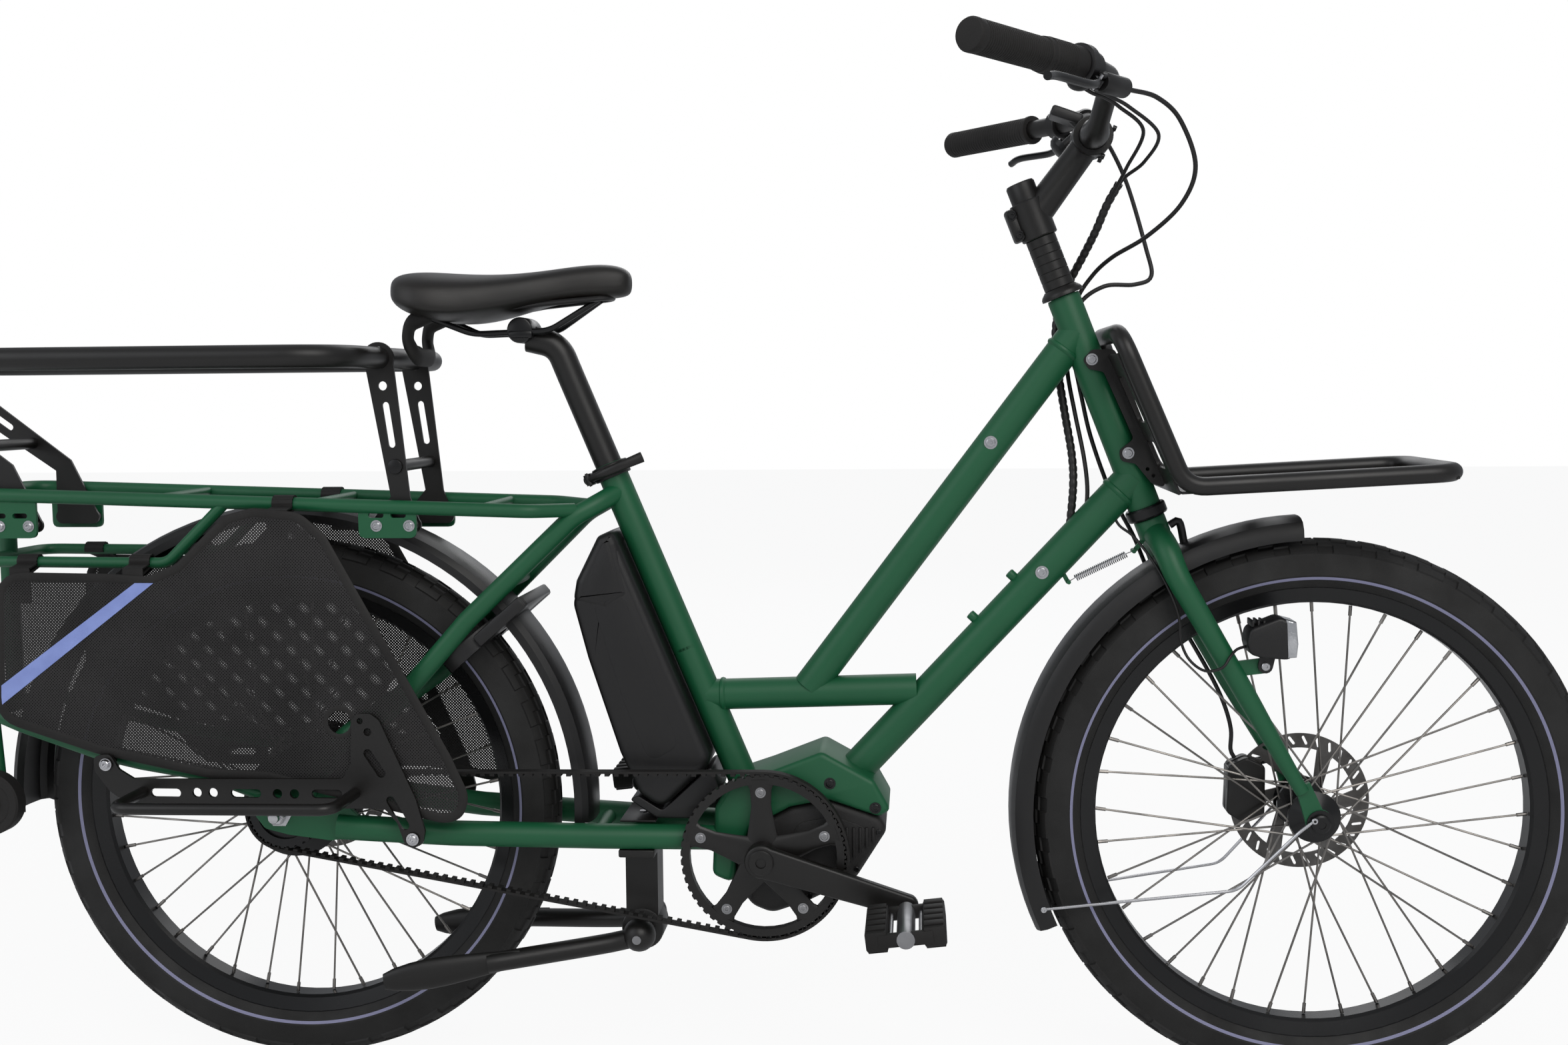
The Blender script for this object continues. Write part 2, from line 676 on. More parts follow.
class CARGO_BIKE_OT_stage(bpy.types.Operator):
    """Build the pale floor, the soft lights and the camera"""
    bl_idname = "cargo_bike.stage"
    bl_label = "Stage"

    def execute(self, context):
        bm = bmesh.new()
        bmesh.ops.create_grid(bm, x_segments=1, y_segments=1, size=14.0)
        floor = piece(bm, "floor", self.floor_look(), None)
        self.lights(context)
        self.camera(context)
        context.scene.view_settings.view_transform = "Standard"
        return {"FINISHED"}

    def floor_look(self):
        """Plain pale floor that a straight camera ray sees as near white, away from the shadow."""
        made = bpy.data.materials.new("Pale Floor")
        made.use_nodes = True
        tree = made.node_tree
        shader = tree.nodes["Principled BSDF"]
        shader.inputs["Base Color"].default_value = (*settings().floor_colour, 1.0)
        shader.inputs["Roughness"].default_value = 0.9
        glow = add_node(tree, "Emission")
        path = add_node(tree, "LightPath")
        share = add_math(tree, "MULTIPLY", 0.92)
        choose = add_node(tree, "MixShader")
        wire(tree, (path, "Is Camera Ray", share, 0), (share, "Value", choose, "Fac"),
             (shader, "BSDF", choose, 1), (glow, "Emission", choose, 2),
             (choose, "Shader", tree.nodes["Material Output"], "Surface"))
        return made

    def lights(self, context):
        """Soft world light with a white background, and three area lights."""
        world = bpy.data.worlds.new("Soft Studio")
        world.use_nodes = True
        tree = world.node_tree
        tree.nodes.clear()
        leave = add_node(tree, "OutputWorld")
        glow = add_node(tree, "Background", Color=(0.92, 0.95, 1.0, 1.0), Strength=0.4)
        white = add_node(tree, "Background", Color=(1.0, 1.0, 1.0, 1.0), Strength=1.0)
        path = add_node(tree, "LightPath")
        seen = add_math(tree, "MAXIMUM")
        choose = add_node(tree, "MixShader")
        wire(tree, (path, "Is Camera Ray", seen, 0), (path, "Is Transmission Ray", seen, 1),
             (seen, "Value", choose, "Fac"), (glow, "Background", choose, 1),
             (white, "Background", choose, 2), (choose, "Shader", leave, "Surface"))
        context.scene.world = world
        target = Vector((0, 0, 0.5))
        for name, place, power, tint in (
            ("Key Light", (1.6, -3.6, 3.4), 85.0, (1.0, 0.98, 0.95)),
            ("Fill Light", (-3.2, -2.6, 2.4), 32.0, (0.95, 0.97, 1.0)),
            ("Back Light", (0.5, 3.4, 3.0), 36.0, (1.0, 1.0, 1.0)),
        ):
            lamp = bpy.data.lights.new(name, "AREA")
            lamp.energy = power
            lamp.size = 3.0
            lamp.color = tint
            made = bpy.data.objects.new(name, lamp)
            made.location = place
            made.rotation_euler = (target - Vector(place)).to_track_quat("-Z", "Y").to_euler()
            context.scene.collection.objects.link(made)

    def camera(self, context):
        """Camera solved from the photo's wheels."""
        lens = bpy.data.cameras.new("Photo Camera")
        lens.sensor_width = SENSOR_WIDTH
        lens.sensor_fit = "HORIZONTAL"
        lens.lens = PHOTO_FOCAL * SENSOR_WIDTH / PHOTO_WIDTH
        lens.clip_start = 0.05
        lens.clip_end = 60.0
        made = bpy.data.objects.new("Photo Camera", lens)
        right = Vector((0.996404, 0.0842868, -0.0086446))
        down = Vector((-0.0015505, -0.0838719, -0.9964753))
        ahead = Vector((-0.0847147, 0.9929055, -0.0834397))
        place = Vector((0.7383603 + CENTRE_SHIFT, -1.8314284, 0.7985275))
        made.matrix_world = basis(right, -down, -ahead, place)
        context.scene.collection.objects.link(made)
        context.scene.camera = made


class CARGO_BIKE_OT_main_frame(bpy.types.Operator):
    """Build the painted head tube, main tubes, seat tube and motor bracket"""
    bl_idname = "cargo_bike.main_frame"
    bl_label = "Main Frame"

    def execute(self, context):
        sides = settings().tube_sides
        bm = bmesh.new()
        add_turned(bm, [(STEERER_BORE, 0.0008), (0.01875, 0.0008), (0.01875, 0.2525), (0.018, 0.2555),
                        (STEERER_BORE, 0.2555)], steer_point(0.0), STEER_UP, sides)
        for start, end, radius in (UPPER_TUBE, DOWN_TUBE):
            add_sweep(bm, [start, end], radius, sides)
        seat_weld = seat_axis(0.442)
        add_sweep(bm, [seat_weld, (0.735, 0, 0.4505)], 0.018, sides)
        add_turned(bm, [(0.016, -0.235), (0.01745, -0.235), (0.01745, -0.0005), (0.016, -0.0005)],
                   SEAT_TOP, SEAT_UP, sides)
        add_sweep(bm, [seat_axis(0.5), seat_axis(0.345)], 0.01745, sides)
        for start, end, radius in (UPPER_TUBE, DOWN_TUBE):
            heading = (end - start).normalized()
            self.weld(bm, start + heading * 0.0245, heading, radius)
        self.weld(bm, seat_weld + Vector((0.0195, 0, 0.0007)), (1, 0, 0.033), 0.018)
        outline = [(0.6925, 0.31), (0.634, 0.329), (0.59, 0.32), (0.545, 0.295), (0.527, 0.26),
                   (0.525, 0.228), (0.499, 0.239), (0.503, 0.318), (0.52, 0.345), (0.566, 0.361),
                   (0.627, 0.385), (0.687, 0.352), (0.706, 0.318)]
        add_plate(bm, rounded(outline, 0.01, 4), 0.0, 0.094, bevel=0.006)
        add_spring_eye(bm, (0.8985, 0.593), (0.9078, 0.5761), (0.9085, 0.5762))
        for x, z in ((0.848, 0.58), (0.8035, 0.532)):
            add_rod(bm, (x, 0, z), (x - 0.0072, 0, z + 0.0067), 0.0055, 20, bevel=0.001)
        piece(bm, "frame_tubes", green_paint(), "frame", ("main_frame",))
        bm = bmesh.new()
        add_bolt_pairs(bm, [(0.819, 0.7366)], 0.0186, 0.0052, 0.003)
        add_bolt_pairs(bm, [(0.8771, 0.5889)], 0.0196, 0.0052, 0.003)
        piece(bm, "frame_bolts", bright_steel(), "frame")
        bm = bmesh.new()
        add_turned(bm, [(STEERER_BORE, -0.0125), (0.022, -0.0125), (0.0233, -0.0105), (0.0233, -0.0015),
                        (0.0218, 0.0006), (STEERER_BORE, 0.0006)], steer_point(0.0), STEER_UP, sides)
        piece(bm, "lower_headset_cup", black_gloss(), "frame")
        return {"FINISHED"}

    def weld(self, bm, at, heading, radius):
        """Low rounded bead round a tube's joint."""
        add_turned(bm, [(radius - 0.001, -0.004), (radius + 0.0014, -0.0022), (radius + 0.002, 0.0),
                        (radius + 0.0012, 0.0022), (radius - 0.001, 0.004)], Vector(at), Vector(heading), 32)


class CARGO_BIKE_OT_rear_triangle(bpy.types.Operator):
    """Build the stays, the rear dropouts, the bridges and the axle nuts"""
    bl_idname = "cargo_bike.rear_triangle"
    bl_label = "Rear Triangle"

    def execute(self, context):
        sides = settings().tube_sides
        seatstay = [(0.39, -0.006, 0.682), (0.369, -0.03, 0.669), (0.343, -0.04, 0.655),
                    (0.221, -0.059, 0.537), (0.153, -0.07, 0.458), (0.078, -0.08, 0.404),
                    (0.034, -0.0815, 0.34)]
        chainstay = [(0.07, -0.0812, 0.3), (0.11, -0.0775, 0.297), (0.201, -0.066, 0.29),
                     (0.372, -0.05, 0.2845), (0.506, -0.035, 0.281)]
        dropout = [(-0.03, 0.312), (-0.018, 0.296), (0.01, 0.289), (0.06, 0.283), (0.095, 0.288),
                   (0.095, 0.311), (0.07, 0.335), (0.03, 0.348), (-0.018, 0.345), (-0.03, 0.332)]
        bm = bmesh.new()
        add_sweep(bm, eased(seatstay, 0.06, 5), 0.0112, sides)
        add_sweep(bm, eased(chainstay, 0.1, 4), 0.0145, sides)
        add_plate(bm, rounded(dropout, 0.01, 4), -0.0775, 0.007, bevel=0.001)
        for x, y, z in ((0.2631, -0.052, 0.5785), (0.3637, -0.05, 0.2844)):
            add_rod(bm, (x, y, z), (x, 0.0, z), 0.008, sides)
        mirror_all(bm)
        piece(bm, "stays", green_paint(), "frame", ("rear_triangle",))
        bm = bmesh.new()
        add_rod(bm, REAR_AXLE - LATERAL * 0.1005, REAR_AXLE + LATERAL * 0.1005, 0.006, 20, bevel=0.0008)
        for out in (-LATERAL, LATERAL):
            add_turned(bm, [(0.0062, 0.0), (0.015, 0.0), (0.015, 0.0015), (0.0104, 0.002), (0.0104, 0.0105),
                            (0.009, 0.012), (0.0062, 0.012)], REAR_AXLE + out * 0.0811, out, 6)
        piece(bm, "rear_axle_nuts", bright_steel(), "frame")
        return {"FINISHED"}


class CARGO_BIKE_OT_cargo_rack(bpy.types.Operator):
    """Build the painted long rack with its posts, struts and bolted tabs"""
    bl_idname = "cargo_bike.cargo_rack"
    bl_label = "Cargo Rack"

    def execute(self, context):
        sides = settings().tube_sides - 8
        bm = bmesh.new()
        half = [(RAIL_REAR[0], -RAIL_Y, RAIL_REAR[1]), (0.3, -RAIL_Y, rail_z(0.3)),
                (0.344, -0.04, rail_z(0.344))]
        add_sweep(bm, eased(mirrored(half) + half, 0.035, 8), 0.008, sides)
        for x in (-0.139, 0.046, 0.242):
            z = rail_z(x) + 0.001
            add_rod(bm, (x, -RAIL_Y, z), (x, RAIL_Y, z), 0.005, 16)
        lower = [(-0.357, -RAIL_Y, LOWER_RAIL_Z), (-0.125, -RAIL_Y, 0.605),
                 (-0.054, -RAIL_Y, rail_z(-0.054) - 0.001)]
        add_sweep(bm, eased(mirrored(lower) + lower, 0.025, 6), 0.0065, sides)
        post_x = -0.361
        foot_z = 0.424
        add_rod(bm, (post_x, 0, RAIL_REAR[1]), (post_x, 0, foot_z), 0.01, 24)
        add_rod(bm, (post_x, -0.062, foot_z), (post_x, 0.062, foot_z), 0.008, sides)
        roller_x, roller_z = ROLLER_AXLE
        strut = [(-0.005, -0.0893, 0.335), (-0.073, -0.0893, 0.36), (-0.161, -0.085, 0.373),
                 (-0.211, -0.082, 0.383), (-0.315, -0.07, 0.413), (-0.35, -0.062, 0.424)]
        for side in (1, -1):
            add_sweep(bm, eased([(x, y * side, z) for x, y, z in strut], 0.08, 4), 0.008, sides)
            add_plate(bm, slot_ring((-0.016, 0.333), (0.02, 0.33), 0.0085, 8), side * -0.0948, 0.005)
            add_sweep(bm, [(-0.357, side * 0.0575, foot_z), (roller_x, side * 0.0575, 0.3115)], 0.008, sides)
            add_rod(bm, (roller_x, side * 0.055, roller_z), (roller_x, side * 0.092, roller_z), 0.005, 20)
            for low_x, high_x in ((0.103, 0.17), (-0.345, -0.28)):
                middle = (low_x + high_x) / 2
                tab = [(low_x, 0.634), (high_x, 0.634), (high_x, rail_z(high_x)), (low_x, rail_z(low_x))]
                holes = [slot_ring((middle + x, 0.66), (middle + x + 0.012, 0.66), 0.003)
                         for x in (-0.019, 0.007)]
                add_plate(bm, rounded(tab, 0.008, 4), side * RAIL_Y, 0.004, holes)
        piece(bm, "rack_tubes", green_paint(), "frame", ("cargo_rack",))
        bm = bmesh.new()
        add_bolt_pairs(bm, [(x, TAB_BOLT_Z) for x in (0.124, 0.162, -0.324, -0.289)], 0.077, 0.0046)
        add_bolt_pairs(bm, [(0.002, 0.3315)], 0.0973, 0.0046)
        add_bolt_pairs(bm, [ROLLER_AXLE], 0.092, 0.005)
        piece(bm, "rack_bolts", bright_steel(), "frame")
        return {"FINISHED"}


class CARGO_BIKE_OT_passenger_rail(bpy.types.Operator):
    """Build the passenger rail and its perforated straps"""
    bl_idname = "cargo_bike.passenger_rail"
    bl_label = "Passenger Rail"

    def execute(self, context):
        front_x, rear_x = 0.1275, -0.4975
        corners = [(front_x, -HOOP_Y, HOOP_Z), (front_x, HOOP_Y, HOOP_Z), (rear_x, HOOP_Y, HOOP_Z),
                   (rear_x, -HOOP_Y, HOOP_Z)]
        bm = bmesh.new()
        add_sweep(bm, eased(corners, 0.07, 12, True), 0.0125, 24, closed=True)
        piece(bm, "hoop_tube", black_coat(), "frame", ("hoop_rail",))
        self.straps("hoop_bracket_front", front_x, 0.122, 0.164, Vector((0.149, 0.68)))
        self.straps("hoop_bracket_rear", rear_x, -0.326, -0.287, Vector((-0.322, 0.712)))
        return {"FINISHED"}

    def straps(self, name, hoop_x, low, high, knee):
        """Pair of straps from two bolts on the rack, over a knee, up round the rail."""
        heel = Vector(((low + high) / 2, TAB_BOLT_Z))
        head = Vector((hoop_x, HOOP_Z))
        along = (head - knee).normalized()
        middle = (along + (knee - heel).normalized()).normalized()
        across = Vector((middle.y, -middle.x)) * 0.011 / middle.dot(along)
        heading = math.degrees(math.atan2(along.y, along.x))
        outline = [*ring_arc(head, 0.018, heading - 115, heading + 115, 18), tuple(knee - across),
                   *ring_arc((low, TAB_BOLT_Z), 0.0085, 135, 270, 8),
                   *ring_arc((high, TAB_BOLT_Z), 0.0085, -90, 45, 8), tuple(knee + across)]
        reach = head - knee
        holes = [ring(head, 0.0127, 28), slot_ring(knee + reach * 0.38, knee + reach * 0.66, 0.004),
                 ring(knee + reach * 0.8, 0.0052, 18)]
        spacer = knee + reach * 0.22
        bm = bmesh.new()
        add_rod(bm, (spacer.x, -STRAP_Y, spacer.y), (spacer.x, STRAP_Y, spacer.y), 0.007, 20)
        for side in (1, -1):
            add_plate(bm, outline, side * STRAP_Y, 0.0032, holes)
            add_plate(bm, slot_ring((low, TAB_BOLT_Z), (high, TAB_BOLT_Z), 0.0064, 8), side * 0.0686, 0.008)
        piece(bm, name + "_straps", black_coat(), "frame", (name,))
        bm = bmesh.new()
        for side in (1, -1):
            add_rod(bm, (spacer.x, side * 0.065, spacer.y), (spacer.x, side * 0.0685, spacer.y), 0.0085, 24,
                    bevel=0.0012)
        piece(bm, name + "_plugs", black_gloss(), "frame")


class CARGO_BIKE_OT_foot_plates(bpy.types.Operator):
    """Build the perforated foot plates and their tread bars"""
    bl_idname = "cargo_bike.foot_plates"
    bl_label = "Foot Plates"

    def execute(self, context):
        outline = [(-0.209, 0.385), (-0.206, 0.366), (-0.19, 0.345), (-0.17, 0.33), (-0.148, 0.328),
                   (0.134, 0.328), (0.148, 0.312), (0.156, 0.288), (0.166, 0.283), (0.177, 0.288),
                   (0.18, 0.303), (0.17, 0.34), (0.13, 0.43), (0.12, 0.4375), (0.106, 0.4375),
                   (0.098, 0.43), (0.096, 0.38), (0.086, 0.362), (-0.16, 0.359), (-0.178, 0.37),
                   (-0.188, 0.388)]
        soft = rounded(outline, 0.008, 3)
        slots = [((x - 0.013, z), (x + 0.013, z))
                 for x, z in ((-0.123, 0.3434), (-0.028, 0.344), (0.067, 0.3446))]
        slots += [((0.116, 0.392), (0.131, 0.369)), ((0.141, 0.338), (0.157, 0.309))]
        holes = [slot_ring(start, end, 0.005) for start, end in slots]
        holes += [ring((x, 0.3442), 0.0055, 18) for x in (-0.086, -0.067, 0.009, 0.029)]
        holes += [ring((0.108, 0.429), 0.0036, 18), ring((0.1165, 0.4165), 0.0046, 18)]
        rear_bolt = (-0.1925, 0.376)
        front_bolt = (0.166, 0.294)
        face_y, bar_y, bar_end_y = 0.1083, 0.1053, 0.18
        for name, side in (("right", -1), ("left", 1)):
            bm = bmesh.new()
            add_plate(bm, soft, side * 0.1043, 0.004, holes)
            bar = [(-0.15, side * bar_y, 0.344), (-0.15, side * bar_end_y, 0.344),
                   (0.1, side * bar_end_y, 0.346), (0.1, side * bar_y, 0.346)]
            add_sweep(bm, eased(bar, 0.02, 8), 0.0065, 20)
            add_rod(bm, (rear_bolt[0], side * face_y, rear_bolt[1]), (rear_bolt[0], side * 0.094, 0.3795),
                    0.0065, 16)
            add_rod(bm, (front_bolt[0], side * face_y, front_bolt[1]),
                    (front_bolt[0], side * 0.085, front_bolt[1]), 0.0075, 16)
            piece(bm, "foot_plate_%s_sheet" % name, black_coat(), "frame", ("foot_plate_" + name,))
            bm = bmesh.new()
            for x, z in (rear_bolt, front_bolt):
                add_bolt(bm, (x, side * face_y, z), (0, side, 0), 0.005)
            piece(bm, "foot_plate_%s_bolts" % name, bright_steel(), "frame")
        return {"FINISHED"}


class CARGO_BIKE_OT_side_panels(bpy.types.Operator):
    """Build the mesh guards with their bound edges, loops and reflective strip"""
    bl_idname = "cargo_bike.side_panels"
    bl_label = "Side Panels"

    def execute(self, context):
        outline = [(-0.313, 0.592), (-0.321, 0.429), (-0.205, 0.392), (-0.075, 0.3655), (-0.004, 0.363),
                   (0.201, 0.316), (0.218, 0.321), (0.225, 0.342), (0.205, 0.3865), (0.172, 0.447),
                   (0.101, 0.576), (0.068, 0.6365), (0.041, 0.66), (-0.011, 0.665),
                   (-0.042, 0.657), (-0.1, 0.602), (-0.136, 0.587), (-0.182, 0.59)]
        soft = rounded(outline, 0.03, 5)
        for name, side in (("right", -1), ("left", 1)):
            y = side * PANEL_Y
            bm = bmesh.new()
            add_plate(bm, soft, y, 0.0016, [ring(PANEL_HOLE, 0.0135, 28)])
            piece(bm, "side_panel_%s_mesh" % name, mesh_cloth(), "frame", ("side_panel_" + name,))
            bm = bmesh.new()
            hem = ring(PANEL_HOLE, 0.0165, 28)
            for edge, radius, sides, flatness in ((soft, 0.0055, 10, 0.3), (hem, 0.0032, 8, 0.4)):
                add_sweep(bm, [(x, y, z) for x, z in edge], radius, sides, closed=True,
                          flat=(LATERAL, flatness))
            for x in (-0.29, -0.155):
                self.loop(bm, x, side, LOWER_RAIL_Z, 0.0066)
            self.loop(bm, 0.017, side, rail_z(0.017), 0.0081)
            piece(bm, "side_panel_%s_binding" % name, soft_rubber(), "frame")
            bm = bmesh.new()
            strip = [(-0.13, 0.585), (-0.152, 0.585), (-0.3195, 0.464), (-0.3205, 0.441)]
            add_plate(bm, strip, y + side * 0.0012, 0.0006)
            piece(bm, "side_panel_%s_reflector" % name, reflective_tape(), "frame")
        return {"FINISHED"}

    def loop(self, bm, x, side, z, radius):
        """Strap that goes round a rail and down the panel's face."""
        inner = radius + 0.0012
        outline = [Vector((x, side * 0.0985, z - 0.045)), Vector((x, side * 0.0985, z - 0.006))]
        for step in range(9):
            turn = math.radians(-20 + 220 * step / 8)
            outline.append(Vector((x, side * (RAIL_Y + inner * math.cos(turn)), z + inner * math.sin(turn))))
        outline.append(Vector((x, side * 0.0965, z - 0.012)))
        for start, end in zip(outline, outline[1:]):
            middle = (start + end) / 2
            run = end - start
            turn = Matrix.Rotation(math.atan2(run.z, run.y), 3, "X")
            add_block(bm, middle, Vector((0.012, run.length / 2 + 0.0006, 0.0009)), turn=turn)


def fender_sections(half_width, depth, skin):
    """Outer and inner halves of a mudguard's curved section, as (drop, y) points."""
    outside = [(depth, -half_width), (depth * 0.55, -half_width), (depth * 0.22, -half_width * 0.86),
               (depth * 0.06, -half_width * 0.6), (0.0, -half_width * 0.25)]
    outside += [(drop, -y) for drop, y in reversed(outside)]
    inside = [(drop + (skin if abs(y) < half_width * 0.7 else 0.0), y * (half_width - skin) / half_width)
              for drop, y in outside]
    return outside + inside[::-1]


class CARGO_BIKE_OT_mudguards(bpy.types.Operator):
    """Build the curved mudguards with their wire stays"""
    bl_idname = "cargo_bike.mudguards"
    bl_label = "Mudguards"

    def arch(self, bm, axle, radius, start, stop, depth):
        """Spin the section round an axle between two angles in degrees."""
        section = fender_sections(0.0345, depth, 0.002)
        heading = heading_of(math.radians(start))
        verts = [bm.verts.new(axle + heading * (radius - drop) + LATERAL * y) for drop, y in section]
        edges = [bm.edges.new((verts[i - 1], verts[i])) for i in range(len(verts))]
        face = bm.faces.new(verts)
        bmesh.ops.spin(bm, geom=[face, *edges, *verts], cent=axle, axis=(0, -1, 0),
                       angle=math.radians(stop - start), steps=round((stop - start) / 3))

    def execute(self, context):
        bm = bmesh.new()
        self.arch(bm, REAR_AXLE, 0.3565, -3.0, 182.5, 0.02)
        out = heading_of(math.radians(45.3))
        add_rod(bm, REAR_AXLE + out * 0.355, REAR_AXLE + out * 0.3652, 0.006, 16)
        piece(bm, "rear_guard", black_plastic(), "frame", ("rear_fender",))
        bm = bmesh.new()
        self.arch(bm, FRONT_AXLE, 0.34, 93.2, 204.4, 0.026)
        crown = steer_point(-0.03)
        ahead = LATERAL.cross(STEER_UP)
        bridge = flowing([(1.0385, 0, 0.6195), crown + ahead * 0.03, crown + ahead * 0.0188], 0.004)
        add_sweep(bm, bridge, 0.0045, 14)
        piece(bm, "front_guard", black_plastic(), "steering", ("front_fender",))
        bm = bmesh.new()
        for side in (1, -1):
            eye = side * 0.0614
            wire = [(1.174, eye, 0.317), (1.158, eye, 0.304), (1.093, side * 0.053, 0.234),
                    (0.88, side * 0.034, 0.202)]
            add_sweep(bm, eased(wire, 0.03, 6), 0.0018, 10)
        add_bolt_pairs(bm, [(1.174, 0.317)], 0.0616, 0.0035, 0.003, False)
        add_bolt_pairs(bm, [(0.88, 0.202)], 0.0345, 0.0035, 0.003, False)
        piece(bm, "front_guard_wires", bright_steel(), "steering")
        return {"FINISHED"}


class CARGO_BIKE_OT_tyres(bpy.types.Operator):
    """Build both tyres with their tread blocks"""
    bl_idname = "cargo_bike.tyres"
    bl_label = "Tyres"

    def execute(self, context):
        self.tyre("rear", REAR_AXLE)
        self.tyre("front", FRONT_AXLE)
        return {"FINISHED"}

    def tyre(self, name, axle):
        bulge = 0.0292
        crown = settings().tyre_radius - 0.0012
        wall = [(0.2545, -0.015), (0.259, -0.019), (0.265, -0.0245), (0.274, -0.0285)]
        inside = [(0.296, -0.017), (0.26, -0.012)]
        profile = [*wall, *ring_arc((crown - bulge, 0.0), bulge, -58, 58, 12),
                   *((radius, -y) for radius, y in wall[::-1] + inside[::-1]), *inside]
        bm = bmesh.new()
        steps = settings().tread_blocks
        add_turned(bm, profile, axle, LATERAL, steps)
        bmesh.ops.remove_doubles(bm, verts=bm.verts, dist=1e-6)
        bmesh.ops.recalc_face_normals(bm, faces=bm.faces)
        blocks = []
        tread_radius = 0.293
        band_width = 0.0052
        for face in bm.faces:
            out = face.calc_center_median() - axle
            if math.hypot(out.x, out.z) > tread_radius and face.normal.dot(out) > 0:
                turn = int((math.atan2(out.z, out.x) + math.pi) / (2 * math.pi) * steps)
                if (turn + abs(round(out.y / band_width))) % 3:
                    blocks.append(face)
        bmesh.ops.inset_region(bm, faces=blocks, thickness=0.0011, depth=0.002, use_even_offset=True)
        bmesh.ops.recalc_face_normals(bm, faces=bm.faces)
        rubber = tyre_rubber("Tyre Rubber " + name.title(), axle.x + CENTRE_SHIFT)
        piece(bm, name + "_tyre_tread", rubber, name + "_wheel", (name + "_tyre",), 28.0)


class CARGO_BIKE_OT_wheels(bpy.types.Operator):
    """Build the rims, hubs, spokes and brake rotors"""
    bl_idname = "cargo_bike.wheels"
    bl_label = "Wheels"

    def execute(self, context):
        front = [(0.0063, -0.0497), (0.012, -0.0497), (0.0125, -0.04), (0.027, -0.0315), (0.029, -0.0305),
                 (0.029, -0.0255), (0.018, -0.0235), (0.0165, 0.0), (0.018, 0.0235), (0.029, 0.0255),
                 (0.029, 0.0305), (0.02, 0.033), (0.02, 0.043), (0.016, 0.0497), (0.0063, 0.0497)]
        rear = [(0.0063, -0.0737), (0.015, -0.0737), (0.015, -0.0517), (0.04, -0.0507), (0.056, -0.04),
                (0.062, -0.037), (0.062, -0.031), (0.0555, -0.029), (0.0545, 0.0), (0.0555, 0.029),
                (0.062, 0.031), (0.062, 0.037), (0.05, 0.044), (0.026, 0.056), (0.02, 0.06),
                (0.018, 0.0737), (0.0063, 0.0737)]
        self.wheel("front", FRONT_AXLE, front, flange=0.029, spacing=0.028, lead=60.0, rotor_y=0.0445,
                   first_angle=0.0, inset=0.0016)
        self.wheel("rear", REAR_AXLE, rear, flange=0.062, spacing=0.034, lead=20.0, rotor_y=0.064,
                   first_angle=math.radians(46), inset=0.0013)
        return {"FINISHED"}

    def wheel(self, name, axle, shell, flange, spacing, lead, rotor_y, first_angle, inset):
        """Rim, hub, spokes and rotor; leading and trailing spokes sit on opposite faces of a flange."""
        body = name + "_wheel"
        rim_half = [(0.2415, -0.0105), (0.2445, -0.014), (0.259, -0.019), (0.2597, -0.02), (0.259, -0.0185),
                    (0.256, -0.0165), (0.252, -0.015)]
        spoke_end = 0.2405
        nipple_length = 0.0115
        bm = bmesh.new()
        add_turned(bm, [*rim_half, (0.249, 0.0), *((radius, -y) for radius, y in rim_half[::-1])], axle,
                   LATERAL, 96)
        piece(bm, name + "_rim_shell", black_gloss(), body, (name + "_rim",), 30.0)
        bm = bmesh.new()
        add_turned(bm, shell, axle, LATERAL, 48)
        piece(bm, name + "_hub_shell", black_gloss(), body, (name + "_hub",), 30.0)
        bm = bmesh.new()
        for index in range(SPOKE_COUNT):
            side = spacing if index % 2 else -spacing
            sign = 1 if index % 4 < 2 else -1
            rim_turn = first_angle + 2 * math.pi * index / SPOKE_COUNT
            hub_turn = rim_turn - math.radians(lead) * sign
            start = axle + heading_of(hub_turn) * (flange - 0.003) + LATERAL * (side + inset * sign)
            end = axle + heading_of(rim_turn) * spoke_end + LATERAL * side * 0.12
            add_rod(bm, start, end, 0.00125, 8)
            add_rod(bm, end + (start - end).normalized() * nipple_length, end, 0.0021, 8)
        piece(bm, name + "_spokes", spoke_steel(), body)
        bm = bmesh.new()
        self.rotor(bm, axle, rotor_y)
        piece(bm, name + "_rotor", rotor_steel(), body)
        bm = bmesh.new()
        hat = [(0.02, rotor_y - 0.003), (0.03, rotor_y - 0.003), (0.03, rotor_y - 0.001),
               (0.02, rotor_y - 0.001)]
        add_turned(bm, hat, axle, LATERAL, 40)
        for index in range(6):
            at = axle + heading_of(2 * math.pi * index / 6) * 0.022 + LATERAL * (rotor_y + 0.001)
            add_bolt(bm, at, LATERAL, 0.0034, 0.0026, False)
        piece(bm, name + "_rotor_hat", black_gloss(), body)

    def rotor(self, bm, axle, y):
        """Brake disc with a slotted track on six curved arms."""
        centre = (axle.x, axle.z)
        holes = [ring(centre, 0.019, 32)]
        for index in range(6):
            base = 60.0 * index
            holes.append(ring_arc(centre, 0.063, base + 12, base + 55, 8)
                         + ring_arc(centre, 0.03, base + 30, base - 2, 6))
        for index in range(30):
            turn = math.radians(12 * index)
            start, end = (axle + heading_of(turn + skew) * radius
                          for radius, skew in ((0.068, 0.0), (0.0755, 0.06)))
            holes.append(slot_ring((start.x, start.z), (end.x, end.z), 0.0016, 3))
        add_plate(bm, ring(centre, ROTOR_RADIUS, 96), y, 0.0018, holes)


